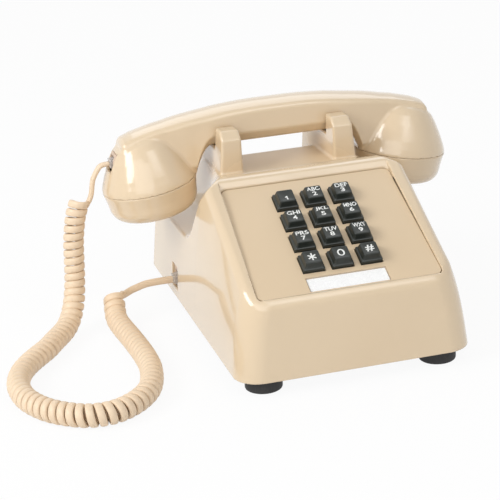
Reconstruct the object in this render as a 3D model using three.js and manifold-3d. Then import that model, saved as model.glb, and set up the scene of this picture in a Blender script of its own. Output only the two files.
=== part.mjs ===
// Corded desk telephone with a push-button dial.
//
// Millimetres, +Z up. X runs from the left side to the right side of the telephone, the front faces -Y,
// and the origin is on the table under the middle of the telephone with its handset on the cradle.
//
// The script builds closed solids from three.js geometries, joins and cuts them with manifold-3d, and
// exports a Group that holds one named Mesh for each separate piece.

import * as THREE from "three";
import { mergeVertices } from "three/addons/utils/BufferGeometryUtils.js";
import Module from "manifold-3d";

const wasm = await Module();
wasm.setup();

// ---------------------------------------------------------------- driving dimensions

const GAP = 0.3; // between pieces that touch
const WALL = 2.6; // moulded wall of the housing

// housing plan at its lower edge
const BODY_FRONT_Y = -114;
const BODY_BACK_Y = 114;
const BODY_HALF = 71.4; // half width
const BODY_BASE_Z = 8.9; // lower edge of the housing, above the table
const CORNER_FRONT_R = 16;
const CORNER_BACK_R = 12;
const FRONT_LEAN = 0.096; // the front wall leans back as it rises
const BACK_LEAN = 0.25; // the back wall leans forward as it rises
const SIDE_DRAW = 9.7; // each side wall curves in by this much up to the rim
const EDGE_R = 4; // rounding of the housing's upper edge

// sloping face with the keys
const FACE_Y = -61.5; // middle of the key field
const FACE_Z = 76.7;
const FACE_SLOPE = 25.5; // degrees
const PLATE_W = 108.1;
const PLATE_FRONT = -48.6; // along the slope from the middle of the key field
const PLATE_BACK = 44;
const PLATE_TAPER = 0.00052; // the face plate narrows by this share per mm up the slope
const PLATE_T = 2.2;
const PLATE_CLEAR = 0.4;
const LEDGE_T = 3;
const LEDGE_W = 5;
const RIM_FRONT_Y = -109.5; // the raised rim's top edge, front and back
const RIM_FRONT_Z = 54.8;
const RIM_BACK_Y = -18;
const RIM_BACK_Z = 101;
const RIM_CREST = 8; // level width of the rim behind the face plate

// keys
const KEY_PITCH = 17.46;
const KEY_W = 13; // lower step
const KEY_H = 13.1;
const KEY_STEP = 2.2; // height of the lower step above the plate
const KEY_TOP = 6.2; // height of the key above the plate
const KEY_TOP_W = 9.6;
const KEY_NECK_W = 11.2;
const KEY_TRAVEL = 3;
const KEY_CLEAR = 0.4;
const KEY_SKIRT = 5; // skirt depth below the plate
const KEY_STEM = 5;
const KEY_STEM_DEPTH = 14;

// number card
const CARD_W = 48;
const CARD_H = 10.5;
const CARD_V = -41.9;
const CARD_T = 0.4;
const WINDOW_T = 0.6;

// cradle
const SADDLE_IN = 29.4; // inner faces of the two saddles, from the middle
const SADDLE_OUT_LOW = 46.7; // outer faces at the shoulders
const SADDLE_OUT_TOP = 41.5;
const SADDLE_FRONT_Y = 9.8;
const EAR_TOP_Z = 122.8;
const EAR_BACK_Y = 71; // rear face of the rear ears, at their top
const CHANNEL_Y = 40.7; // the handset's centre line
const CHANNEL_HALF = 14.8;
const CHANNEL_Z = 108;
const SHOULDER_Z = 57.3;
const SHELF_Z = 94; // floor between the saddles, under the handle
const SHELF_FRONT_Z = 94.8;
const SHELF_BACK_Y = 50;

// handset
const CUP_X = 82.5; // cup centres at the cap seam
const CUP_Z = 87.8;
const CUP_R = 30;
const CUP_TILT = 8.6; // degrees, outer side lower
const CAP_DEPTH = 18.4;
const CAP_WALL = 2.4;
const HANDLE_HALF_TOP = 10.8;
const HANDLE_HALF_SEAM = 13.9;
const HANDLE_HALF_LOW = 9;
const HANDLE_BOTTOM_Z = CHANNEL_Z + GAP;
const SHELL_WALL = 2.6;
const HOLLOW_TOP_IN = 19.5; // the hollow's top is narrower than the cup by this much
const JACK_SET_IN = 6.7; // the handset jack's mouth, in from the cup's widest point
const SLEEVE_H = 7; // the caps' threaded sleeves

// hook switch
const PLUNGER_X = 36.15;
const PLUNGER_R = 3.1;
const PLUNGER_CLEAR = 0.4;
const COLLAR_CLEAR = 0.05; // between a plunger's collar and the saddle's inner wall
const PLUNGER_TRAVEL = 9;
const LEVER_Y = -11.7; // lever pivot
const LEVER_Z = 50;
const LEVER_T = 2.4;
const LEVER_PIN_R = 2;

// feet, plate and screws
const FOOT_R = 11;
const FOOT_X = 53.2;
const FOOT_FRONT_Y = -98;
const FOOT_BACK_Y = 88;
const FOOT_BACK_X = 54;
const BASE_T = 1.2;
const BASE_CLEAR = 0.5;
const STEM_R = 3;
const SCREW_R = 1.8;
const SCREW_IN = 17; // both screws, in from the housing's lower front and back edges
const SCREW_FRONT_Y = BODY_FRONT_Y + SCREW_IN;
const SCREW_BACK_X = -40;
const SCREW_BACK_Y = BODY_BACK_Y - SCREW_IN;

// ringer
const GONG_R = 23;
const GONG_X = 28.5;
const GONG_Y = 52;
const GONG_TOP_Z = 35.4;
const GONG_H = 16;
const GONG_T = 1.4;
const POST_R = 2.8;
const WHEEL_R = 11;
const WHEEL_T = 3;
const WHEEL_Y = 77;
const WHEEL_Z = 18.2;

// modular jacks and plugs
const JACK_W = 12.6;
const JACK_H = 14.4;
const PLUG_W = 7.7;
const PLUG_H = 6.6;
const SIDE_JACK_Y = 41;
const SIDE_JACK_Z = 22.5;
const HANDSET_JACK_Z = 104.5;
const LINE_JACK_X = 36;
const LINE_JACK_Z = 20.4;
const LINE_JACK_W = 15;

// cord
const WIRE_R = 2;
const COIL_R = 6.3;

// ---------------------------------------------------------------- solids

const DEG = Math.PI / 180;
const SLIVER = 0.01; // thinner leftovers of a cut are dropped

function solid(geometry) {
  const g = geometry.clone();
  g.deleteAttribute("normal");
  g.deleteAttribute("uv");
  const merged = mergeVertices(g, 1e-4);
  return new wasm.Manifold(
    new wasm.Mesh({
      numProp: 3,
      vertProperties: new Float32Array(merged.attributes.position.array),
      triVerts: new Uint32Array(merged.index.array),
    }),
  );
}

function moved(geometry, x, y, z, rx = 0, ry = 0, rz = 0) {
  const g = geometry.clone();
  g.applyMatrix4(
    new THREE.Matrix4().compose(
      new THREE.Vector3(x, y, z),
      new THREE.Quaternion().setFromEuler(new THREE.Euler(rx, ry, rz)),
      new THREE.Vector3(1, 1, 1),
    ),
  );
  return g;
}

// box between two corners
function box(x0, y0, z0, x1, y1, z1) {
  return solid(
    moved(new THREE.BoxGeometry(x1 - x0, y1 - y0, z1 - z0), (x0 + x1) / 2, (y0 + y1) / 2, (z0 + z1) / 2),
  );
}

// upright cylinder, or cone, between two heights
function post(x, y, z0, z1, r0, r1 = r0, sides = 20) {
  const g = new THREE.CylinderGeometry(r1, r0, z1 - z0, sides);
  return solid(moved(g, x, y, (z0 + z1) / 2, Math.PI / 2));
}

// cylinder along X between two places
function barX(x0, x1, y, z, r, sides = 16) {
  const g = new THREE.CylinderGeometry(r, r, x1 - x0, sides);
  return solid(moved(g, (x0 + x1) / 2, y, z, 0, 0, Math.PI / 2));
}

// a turned solid about Z: the profile is a list of [radius, height] from bottom to top
function turned(profile, sides = 32) {
  const g = new THREE.LatheGeometry(
    profile.map(([r, h]) => new THREE.Vector2(r, h)),
    sides,
  );
  return moved(g, 0, 0, 0, Math.PI / 2);
}

// a side-view outline in Y and Z, run along X between two places
function slab(points, x0, x1) {
  const shape = new THREE.Shape(points.map(([y, z]) => new THREE.Vector2(y, z)));
  const g = new THREE.ExtrudeGeometry(shape, { depth: x1 - x0, bevelEnabled: false });
  // the outline's own axes become Y and Z, and the run becomes X
  const m = new THREE.Matrix4().set(0, 0, 1, x0, 1, 0, 0, 0, 0, 1, 0, 0, 0, 0, 0, 1);
  g.applyMatrix4(m);
  return g;
}

// moves every vertex of a geometry by a rule
function shaped(geometry, rule) {
  const g = geometry.clone();
  const p = g.attributes.position;
  for (let i = 0; i < p.count; i += 1) {
    const [x, y, z] = rule(p.getX(i), p.getY(i), p.getZ(i));
    p.setXYZ(i, x, y, z);
  }
  return g;
}

// skin through closed rings of points: rings run up the stack, points run anticlockwise seen from its top
function skinned(rings) {
  const n = rings[0].length;
  const last = rings.length - 1;
  const g = new THREE.CylinderGeometry(1, 1, last, n, last);
  return shaped(g, (x, y, z) => {
    const ring = rings[Math.round(y + last / 2)];
    if (Math.hypot(x, z) < 0.5) {
      return [0, 1, 2].map((k) => ring.reduce((sum, p) => sum + p[k], 0) / n);
    }
    const turn = Math.atan2(x, z) / (2 * Math.PI);
    return ring[((Math.round(turn * n) % n) + n) % n];
  });
}

function roundedRect(w, h, r, steps) {
  const points = [];
  const corners = [
    [w / 2 - r, h / 2 - r, 0],
    [-w / 2 + r, h / 2 - r, 90],
    [-w / 2 + r, -h / 2 + r, 180],
    [w / 2 - r, -h / 2 + r, 270],
  ];
  for (const [cx, cy, start] of corners) {
    for (let i = 0; i <= steps; i += 1) {
      const a = (start + (90 * i) / steps) * DEG;
      points.push([cx + r * Math.cos(a), cy + r * Math.sin(a)]);
    }
  }
  return points;
}

function geometryOf(manifold) {
  const mesh = manifold.getMesh();
  const g = new THREE.BufferGeometry();
  g.setAttribute("position", new THREE.BufferAttribute(new Float32Array(mesh.vertProperties), 3));
  g.setIndex(new THREE.BufferAttribute(new Uint32Array(mesh.triVerts), 1));
  g.computeVertexNormals();
  return g;
}

function placed(manifold, matrix) {
  const g = geometryOf(manifold);
  g.applyMatrix4(matrix);
  return solid(g);
}

function union(first, ...rest) {
  return rest.reduce((all, next) => all.add(next), first);
}

function cut(first, ...rest) {
  return rest.reduce((all, next) => all.subtract(next), first);
}

// ---------------------------------------------------------------- the group and its materials

const telephone = new THREE.Group();

const BEIGE = { color: 0xdcc6a3, roughness: 0.28, metalness: 0 };
const SATIN_BEIGE = { color: 0xd9c09b, roughness: 0.5, metalness: 0 };
const BLACK = { color: 0x1d1f1d, roughness: 0.4, metalness: 0 };
const RUBBER = { color: 0x111111, roughness: 0.85, metalness: 0 };
const WHITE = { color: 0xf4f4f0, roughness: 0.7, metalness: 0 };
const CLEAR = { color: 0xe6e8ea, roughness: 0.1, metalness: 0, transparent: true, opacity: 0.45 };
const STEEL = { color: 0xa9abad, roughness: 0.4, metalness: 1 };
const BRASS = { color: 0xc8a24e, roughness: 0.3, metalness: 1 };
const GREY = { color: 0x6f7275, roughness: 0.6, metalness: 0 };
const BOARD = { color: 0x6b4d2c, roughness: 0.7, metalness: 0 };
const COPPER = { color: 0x8a4a2a, roughness: 0.5, metalness: 0.3 };
const CORD = { color: 0xd8b994, roughness: 0.45, metalness: 0 };

function add(name, shape, look, parent = telephone) {
  const g = shape.isBufferGeometry ? shape : geometryOf(shape.simplify(SLIVER));
  const mesh = new THREE.Mesh(g, new THREE.MeshStandardMaterial(look));
  mesh.name = name;
  parent.add(mesh);
  return mesh;
}

// ---------------------------------------------------------------- housing

const faceTurn = FACE_SLOPE * DEG;
const faceMatrix = new THREE.Matrix4().compose(
  new THREE.Vector3(0, FACE_Y, FACE_Z),
  new THREE.Quaternion().setFromEuler(new THREE.Euler(faceTurn, 0, 0)),
  new THREE.Vector3(1, 1, 1),
);
// narrows a shape in the sloping face's axes as it goes up the slope
const tapered = (geometry) => shaped(geometry, (u, v, n) => [u * (1 - PLATE_TAPER * v), v, n]);
// a tapered box in the sloping face's own axes: across, up the slope, out of the face
function faceBox(u0, v0, n0, u1, v1, n1) {
  const block = new THREE.BoxGeometry(u1 - u0, v1 - v0, n1 - n0);
  const g = moved(block, (u0 + u1) / 2, (v0 + v1) / 2, (n0 + n1) / 2);
  return placed(solid(tapered(g)), faceMatrix);
}

const rimSlope = (RIM_BACK_Z - RIM_FRONT_Z) / (RIM_BACK_Y - RIM_FRONT_Y);
const rimZ = (y) => RIM_FRONT_Z + rimSlope * (y - RIM_FRONT_Y);
// how far a place on the plan outline moves back for each mm of rise
function lean(y) {
  const t = (y - BODY_FRONT_Y) / (BODY_BACK_Y - BODY_FRONT_Y);
  return FRONT_LEAN * (1 - t) - BACK_LEAN * t;
}
// height at which that place, leaned, reaches the plane of the rim
const topZ = (y) => (rimZ(y) - rimSlope * BODY_BASE_Z * lean(y)) / (1 - rimSlope * lean(y));
// how far a side wall has curved in at a height
function sideDraw(y, z) {
  const t = (z - BODY_BASE_Z) / (Math.min(topZ(y), RIM_BACK_Z) - BODY_BASE_Z);
  return SIDE_DRAW * (0.5 * t + 0.5 * t * t * t);
}

// plan outline of the housing at its lower edge, anticlockwise, drawn in by a margin
function planOutline(margin, cornerSteps) {
  const front = BODY_FRONT_Y + margin;
  const back = BODY_BACK_Y - margin;
  const fr = Math.max(2, CORNER_FRONT_R - margin);
  const br = Math.max(2, CORNER_BACK_R - margin);
  const w = BODY_HALF - margin;
  const points = [];
  const arc = (cx, cy, r, from, to) => {
    for (let i = 0; i <= cornerSteps; i += 1) {
      const a = (from + ((to - from) * i) / cornerSteps) * DEG;
      points.push([cx + r * Math.cos(a), cy + r * Math.sin(a)]);
    }
  };
  arc(w - fr, front + fr, fr, -90, 0);
  for (let i = 1; i < 8; i += 1) {
    points.push([w, front + fr + ((back - br - front - fr) * i) / 8]);
  }
  arc(w - br, back - br, br, 0, 90);
  const right = points.slice();
  for (let i = right.length - 1; i >= 0; i -= 1) {
    points.push([-right[i][0], right[i][1]]);
  }
  return points;
}

// leans a point of the plan outline to its place at a height
function leaned(x, y, z) {
  return [x * (1 - sideDraw(y, z) / BODY_HALF), y + lean(y) * (z - BODY_BASE_Z), z];
}

// the moulded body without its cradle: the outline leaned in, with a rounded sloping top
function bodyBlock(margin) {
  const rings = [];
  const outline = (m) => planOutline(margin + m, 5);
  const ringAt = (m, drop) =>
    outline(m).map(([x, y]) => {
      const top = topZ(y) - margin - drop;
      return leaned(x, y, top);
    });
  const low = margin > 0 ? 4 : 0;
  rings.push(outline(0).map(([x, y]) => leaned(x, y, BODY_BASE_Z - low)));
  for (const share of [0.3, 0.55, 0.78]) {
    const rise = (y) => share * (topZ(y) - margin - EDGE_R - BODY_BASE_Z);
    rings.push(outline(0).map(([x, y]) => leaned(x, y, BODY_BASE_Z + rise(y))));
  }
  const steps = 3;
  for (let i = 0; i <= steps; i += 1) {
    const a = (i / steps) * 90 * DEG;
    rings.push(ringAt(EDGE_R * (1 - Math.cos(a)), EDGE_R * (1 - Math.sin(a))));
  }
  return solid(skinned(rings));
}

// the cuts above the shoulders run out past the body, behind and above it
const beyondY = BODY_BACK_Y + 16;
const beyondZ = 160;

// outline, in Y and Z, of what is cleared above the shoulders beside the saddles
function shoulderCut(margin) {
  const m = margin;
  return [
    [beyondY, SHOULDER_Z - m],
    [16 - m * 0.3, SHOULDER_Z - m],
    [9 - m * 0.7, 61.5 - m * 0.7],
    [-1 - m * 0.8, 69.5 - m * 0.6],
    [-9 - m, 78 - m * 0.3],
    [-13.6 - m, 87],
    [-14.6 - m, 93],
    [-13 - m, 98],
    [-9 - m, 103 + m],
    [-9 - m, beyondZ],
    [beyondY, beyondZ],
  ];
}

// outline of what is cleared between the saddles, under the handle
function troughCut(margin) {
  const m = margin;
  const y = RIM_BACK_Y + RIM_CREST;
  return [
    [y - m * 0.4, beyondZ],
    [y - m * 0.4, RIM_BACK_Z + m],
    [y + 2 - m * 0.6, RIM_BACK_Z - 1.4 - m * 0.5],
    [SADDLE_FRONT_Y, SHELF_FRONT_Z - m],
    [SHELF_BACK_Y, SHELF_Z - m],
    [SHELF_BACK_Y + 10 - m * 0.3, SHELF_Z - 5 - m],
    [SHELF_BACK_Y + 20 - m * 0.5, SHELF_Z - 14 - m],
    [SHELF_BACK_Y + 30 - m * 0.6, SHELF_Z - 26 - m],
    [SHELF_BACK_Y + 37 - m * 0.6, SHOULDER_Z - m],
    [beyondY, SHOULDER_Z - m],
    [beyondY, beyondZ],
  ];
}

// one saddle, in side view: a step behind the rim, the front ear, the channel floor and the rear ear
function saddleOutline(margin) {
  const m = margin;
  const y0 = RIM_BACK_Y - 4 + m;
  const shoulder = EAR_TOP_Z - 3.8;
  const back = (z) => EAR_BACK_Y - BACK_LEAN * (z - EAR_TOP_Z);
  return [
    [y0, 40],
    [back(40) - m, 40],
    [back(shoulder) - m, shoulder],
    [back(shoulder) - 3.6 - m * 0.4, EAR_TOP_Z - m],
    [CHANNEL_Y + CHANNEL_HALF + m, EAR_TOP_Z - 1 - m],
    [CHANNEL_Y + CHANNEL_HALF + m, CHANNEL_Z - m],
    [CHANNEL_Y - CHANNEL_HALF - m, CHANNEL_Z - m],
    [CHANNEL_Y - CHANNEL_HALF - m, EAR_TOP_Z - 1 - m],
    [SADDLE_FRONT_Y + 3.6 + m * 0.4, EAR_TOP_Z - m],
    [SADDLE_FRONT_Y + m, shoulder],
    [SADDLE_FRONT_Y + m, SHELF_FRONT_Z + 0.4 - m],
    [RIM_BACK_Y + RIM_CREST + 1.6, RIM_BACK_Z - 1 - m],
    [y0, RIM_BACK_Z - 1 - m],
  ];
}

// the saddle's outer face leans in as it rises
const saddleOuter = (z) =>
  SADDLE_OUT_LOW + ((SADDLE_OUT_TOP - SADDLE_OUT_LOW) * (z - SHOULDER_Z)) / (EAR_TOP_Z - SHOULDER_Z);

// runs an outline from an inner to an outer distance from the middle, on one side
function across(side, outline, inner, outer) {
  const g = shaped(slab(outline, 0, 1), (t, y, z) => [side * (inner(z) + (outer(z) - inner(z)) * t), y, z]);
  // on the left the outline comes out mirrored, so its faces are turned round to point out again
  return side > 0 ? solid(g) : flipped(mergeVertices(stripped(g), 1e-4));
}

function saddle(side, margin) {
  return across(
    side,
    saddleOutline(margin),
    () => SADDLE_IN + margin,
    (z) => saddleOuter(z) - margin,
  );
}

function stripped(geometry) {
  const g = geometry.clone();
  g.deleteAttribute("normal");
  g.deleteAttribute("uv");
  return g;
}

function flipped(indexed) {
  const a = indexed.index.array;
  for (let i = 0; i < a.length; i += 3) {
    [a[i + 1], a[i + 2]] = [a[i + 2], a[i + 1]];
  }
  return solid(indexed);
}

function bodySolid(margin) {
  const block = bodyBlock(margin);
  const reach = Math.max(beyondY, BODY_HALF + 16);
  // the cuts reach a little into the saddles, which are joined on afterwards
  const bite = 0.6;
  const flank = (z) => saddleOuter(Math.min(z, EAR_TOP_Z)) - margin;
  const sideCut = (side) => across(side, shoulderCut(margin), (z) => flank(z) - bite, () => reach);
  const middleHalf = SADDLE_IN + margin + bite;
  const middle = solid(slab(troughCut(margin), -middleHalf, middleHalf));
  // the rim's crest is level, and behind it the block is cleared down to where the saddles stand on it
  const crestZ = RIM_BACK_Z - margin;
  const crestCut = box(-reach, RIM_BACK_Y, crestZ, reach, reach, crestZ + 80);
  const standZ = SHOULDER_Z - margin;
  const stand = (y) => [[y, standZ], [beyondY, standZ], [beyondY, beyondZ], [y, beyondZ]];
  const standCut = (side) => {
    const under = stand(RIM_BACK_Y + RIM_CREST - margin);
    const behind = stand(EAR_BACK_Y + 12);
    const near = SADDLE_IN - bite;
    return across(side, under, () => near, flank).add(across(side, behind, () => near - margin, flank));
  };
  const base = cut(block, crestCut, standCut(1), standCut(-1), sideCut(1), sideCut(-1), middle);
  return union(base, saddle(1, margin), saddle(-1, margin));
}

const outerBody = bodySolid(0);
const innerBody = bodySolid(WALL);

// frame under the face plate's edges, inside the housing
const plateHalf = PLATE_W / 2;
const ledge = faceBox(
  -plateHalf - 9,
  PLATE_FRONT - 9,
  -PLATE_T - LEDGE_T,
  plateHalf + 9,
  PLATE_BACK + 5,
  6,
).intersect(outerBody);

const bossFront = post(0, SCREW_FRONT_Y, BODY_BASE_Z + BASE_T + 2 * GAP, 54, 4.5, 4.5, 16);
const bossBack = post(SCREW_BACK_X, SCREW_BACK_Y, BODY_BASE_Z + BASE_T + 2 * GAP, 54, 4.5, 4.5, 16);
const bosses = bossFront.add(bossBack).intersect(outerBody);

const platePocket = faceBox(
  -plateHalf - PLATE_CLEAR,
  PLATE_FRONT - PLATE_CLEAR,
  -PLATE_T - GAP,
  plateHalf + PLATE_CLEAR,
  PLATE_BACK + PLATE_CLEAR,
  30,
);
const faceOpening = faceBox(
  -plateHalf + LEDGE_W,
  PLATE_FRONT + LEDGE_W,
  -40,
  plateHalf - LEDGE_W,
  PLATE_BACK - LEDGE_W,
  5,
);
// sloping inner side of the rim above the plate's back edge
const rimChamfer = placed(
  solid(
    tapered(
      slab(
        [
          [PLATE_BACK - 6, -0.4],
          [PLATE_BACK + PLATE_CLEAR, 0.4],
          [PLATE_BACK + PLATE_CLEAR + 13.8, 9.4],
          [PLATE_BACK + PLATE_CLEAR + 13.8, 24],
          [PLATE_BACK - 6, 24],
        ],
        -plateHalf - PLATE_CLEAR,
        plateHalf + PLATE_CLEAR,
      ),
    ),
  ),
  faceMatrix,
);

const leftWallX = -(BODY_HALF - sideDraw(SIDE_JACK_Y, SIDE_JACK_Z));
const backWallY = BODY_BACK_Y - BACK_LEAN * (LINE_JACK_Z - BODY_BASE_Z);

const sideJackHole = box(
  leftWallX - 12,
  SIDE_JACK_Y - JACK_W / 2 - GAP,
  SIDE_JACK_Z - JACK_H / 2 - GAP,
  leftWallX + 10,
  SIDE_JACK_Y + JACK_W / 2 + GAP,
  SIDE_JACK_Z + JACK_H / 2 + GAP,
);
const lineJackHole = box(
  LINE_JACK_X - LINE_JACK_W / 2 - GAP,
  backWallY - 8,
  LINE_JACK_Z - LINE_JACK_W / 2 - GAP,
  LINE_JACK_X + LINE_JACK_W / 2 + GAP,
  backWallY + 8,
  LINE_JACK_Z + LINE_JACK_W / 2 + GAP,
);
const plungerHoles = [1, -1].map((s) =>
  post(s * PLUNGER_X, CHANNEL_Y, CHANNEL_Z - 12, CHANNEL_Z + 12, PLUNGER_R + PLUNGER_CLEAR, undefined, 20),
);
const screwPlaces = {
  housing_screw_front: [0, SCREW_FRONT_Y],
  housing_screw_rear: [SCREW_BACK_X, SCREW_BACK_Y],
};
const screwHole = ([x, y]) => post(x, y, 0, BODY_BASE_Z + 14, SCREW_R + GAP, undefined, 12);
const screwHoles = Object.values(screwPlaces).map(screwHole);

const housing = cut(
  union(outerBody.subtract(innerBody), ledge, bosses),
  platePocket,
  faceOpening,
  rimChamfer,
  sideJackHole,
  lineJackHole,
  ...plungerHoles,
  ...screwHoles,
);
add("housing", housing, BEIGE);

// ---------------------------------------------------------------- base plate, feet and screws

const basePoints = planOutline(WALL + BASE_CLEAR, 3).map(([x, y]) => {
  const [lx, ly] = leaned(x, y, BODY_BASE_Z + BASE_T + GAP);
  return new THREE.Vector2(lx, ly);
});
const baseShape = new THREE.Shape(basePoints);
let basePlate = solid(
  moved(
    new THREE.ExtrudeGeometry(baseShape, { depth: BASE_T, bevelEnabled: false }),
    0,
    0,
    BODY_BASE_Z + GAP,
  ),
);
const footPlaces = {
  foot_front_left: [-FOOT_X, FOOT_FRONT_Y],
  foot_front_right: [FOOT_X, FOOT_FRONT_Y],
  foot_rear_left: [-FOOT_BACK_X, FOOT_BACK_Y],
  foot_rear_right: [FOOT_BACK_X, FOOT_BACK_Y],
};
const baseLow = BODY_BASE_Z + GAP;
const baseHigh = baseLow + BASE_T;
for (const [x, y] of Object.values(footPlaces)) {
  basePlate = basePlate.subtract(post(x, y, 0, baseHigh + 3, STEM_R + GAP, undefined, 12));
}
for (const [x, y] of Object.values(screwPlaces)) {
  basePlate = basePlate.subtract(post(x, y, 0, baseHigh + 3, SCREW_R + 0.4, undefined, 12));
}
const wheelSlot = box(
  -WHEEL_T / 2 - 0.8,
  WHEEL_Y - WHEEL_R - 0.5,
  0,
  WHEEL_T / 2 + 0.8,
  WHEEL_Y + WHEEL_R + 0.5,
  baseHigh + 3,
);
basePlate = basePlate.subtract(wheelSlot);
add("base_plate", basePlate, STEEL);

for (const [name, [x, y]] of Object.entries(footPlaces)) {
  const foot = turned(
    [
      [0, 0],
      [FOOT_R - 3.4, 0],
      [FOOT_R - 1.2, 1.2],
      [FOOT_R, 4],
      [FOOT_R, baseLow - GAP],
      [STEM_R, baseLow - GAP],
      [STEM_R, baseHigh + GAP],
      [STEM_R + 1.4, baseHigh + GAP],
      [STEM_R - 0.6, baseHigh + 3.4],
      [0, baseHigh + 3.4],
    ],
    16,
  );
  add(name, foot, RUBBER).position.set(x, y, 0);
}

for (const [name, [x, y]] of Object.entries(screwPlaces)) {
  const screw = turned(
    [
      [0, baseLow - 2.6],
      [2.6, baseLow - 2.6],
      [3.4, baseLow - 2],
      [3.4, baseLow - GAP],
      [SCREW_R, baseLow - GAP],
      [SCREW_R, baseLow + 11.4],
      [0.8, baseLow + 12.6],
      [0, baseLow + 12.6],
    ],
    12,
  );
  add(name, screw, STEEL).position.set(x, y, 0);
}

// ---------------------------------------------------------------- face plate, card and keys

const face = new THREE.Group();
face.position.set(0, FACE_Y, FACE_Z);
face.rotation.x = faceTurn;
telephone.add(face);

const keyRows = [
  ["key_1", "key_2", "key_3"],
  ["key_4", "key_5", "key_6"],
  ["key_7", "key_8", "key_9"],
  ["key_star", "key_0", "key_hash"],
];
const keyPlaces = keyRows.flatMap((row, r) =>
  row.map((name, c) => ({ name, u: (c - 1) * KEY_PITCH, v: (1.5 - r) * KEY_PITCH })),
);

const plateLength = PLATE_BACK - PLATE_FRONT;
const plateMiddle = (PLATE_BACK + PLATE_FRONT) / 2;
function roundedPlate(w, h, r, t, steps) {
  const shape = new THREE.Shape(roundedRect(w, h, r, steps).map(([x, y]) => new THREE.Vector2(x, y)));
  return new THREE.ExtrudeGeometry(shape, { depth: t, bevelEnabled: false });
}
let facePlate = solid(
  tapered(moved(roundedPlate(PLATE_W, plateLength, 4, PLATE_T, 3), 0, plateMiddle, -PLATE_T)),
);
for (const { u, v } of keyPlaces) {
  const w = KEY_W / 2 + KEY_CLEAR;
  const h = KEY_H / 2 + KEY_CLEAR;
  facePlate = facePlate.subtract(box(u - w, v - h, -10, u + w, v + h, 10));
}
facePlate = facePlate.subtract(
  box(
    -CARD_W / 2 - GAP,
    CARD_V - CARD_H / 2 - GAP,
    -CARD_T - WINDOW_T - 2 * GAP,
    CARD_W / 2 + GAP,
    CARD_V + CARD_H / 2 + GAP,
    10,
  ),
);
add("face_plate", facePlate, SATIN_BEIGE, face);

const windowZ = -WINDOW_T;
const cardZ = windowZ - 0.25 - CARD_T;
add("number_card", new THREE.BoxGeometry(CARD_W - 0.6, CARD_H - 0.4, CARD_T), WHITE, face).position.set(
  0,
  CARD_V,
  cardZ + CARD_T / 2,
);
add("card_window", new THREE.BoxGeometry(CARD_W, CARD_H, WINDOW_T), CLEAR, face).position.set(
  0,
  CARD_V,
  windowZ + WINDOW_T / 2,
);

function keySolid() {
  const ring = (w, h, r, z) => roundedRect(w, h, r, 1).map(([x, y]) => [x, y, z]);
  const neckH = KEY_NECK_W * (KEY_H / KEY_W);
  const topH = KEY_TOP_W * (KEY_H / KEY_W);
  const body = solid(
    skinned([
      ring(KEY_W, KEY_H, 1, -KEY_SKIRT),
      ring(KEY_W, KEY_H, 1, KEY_STEP - 0.4),
      ring(KEY_W - 0.8, KEY_H - 0.8, 1, KEY_STEP),
      ring(KEY_NECK_W, neckH, 1, KEY_STEP),
      ring(KEY_TOP_W + 0.5, topH + 0.5, 1, KEY_TOP - 0.5),
      ring(KEY_TOP_W - 0.6, topH - 0.6, 0.8, KEY_TOP),
      ring(KEY_TOP_W - 2.6, topH - 2.6, 0.6, KEY_TOP - 0.3),
    ]),
  );
  const s = KEY_STEM / 2;
  return body.add(box(-s, -s, -KEY_STEM_DEPTH, s, s, -KEY_SKIRT + 1));
}
for (const { name, u, v } of keyPlaces) {
  add(name, keySolid(), BLACK, face).position.set(u, v, 0);
}

// frame that guides the keys, and the contact board under it
const frameTop = -PLATE_T - GAP;
const frameLow = -KEY_STEM_DEPTH - KEY_TRAVEL - 2.4;
const frameHalfU = KEY_PITCH + KEY_W / 2 + 3.2;
const frameHalfV = 1.5 * KEY_PITCH + KEY_H / 2 + 3;
let keypadFrame = box(-frameHalfU, -frameHalfV, frameLow, frameHalfU, frameHalfV, frameTop);
for (const { u, v } of keyPlaces) {
  const w = KEY_W / 2 + KEY_CLEAR;
  const h = KEY_H / 2 + KEY_CLEAR;
  const low = -KEY_SKIRT - KEY_TRAVEL - 0.6;
  const s = KEY_STEM / 2 + 0.4;
  keypadFrame = cut(
    keypadFrame,
    box(u - w, v - h, low, u + w, v + h, 0),
    box(u - s, v - s, -KEY_STEM_DEPTH - KEY_TRAVEL - 0.6, u + s, v + s, 0),
  );
}
add("keypad_frame", keypadFrame, GREY, face);
add(
  "keypad_board",
  new THREE.BoxGeometry(2 * frameHalfU - 4, 2 * frameHalfV - 4, 1.6),
  BOARD,
  face,
).position.set(0, 0, frameLow - GAP - 0.8);

// ---------------------------------------------------------------- hook switch

const leverTop = LEVER_Z + LEVER_T / 2;
const plungerTop = HANDLE_BOTTOM_Z - GAP;
const collarTop = CHANNEL_Z - WALL - PLUNGER_TRAVEL - GAP;
const collarLow = collarTop - 2;
// the collar fills the inside of the saddle from side to side, but for a running fit
const collarR = PLUNGER_X - SADDLE_IN - WALL - COLLAR_CLEAR;
for (const [name, s] of [
  ["plunger_left", -1],
  ["plunger_right", 1],
]) {
  const plunger = turned(
    [
      [0, leverTop + GAP],
      [PLUNGER_R - 1, leverTop + GAP],
      [PLUNGER_R, leverTop + GAP + 1],
      [PLUNGER_R, collarLow],
      [collarR, collarLow],
      [collarR, collarTop],
      [PLUNGER_R, collarTop],
      [PLUNGER_R, plungerTop - 1.4],
      [PLUNGER_R - 0.8, plungerTop - 0.4],
      [PLUNGER_R - 2.2, plungerTop],
      [0, plungerTop],
    ],
    12,
  );
  add(name, plunger, BEIGE).position.set(s * PLUNGER_X, CHANNEL_Y, 0);
}

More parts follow.
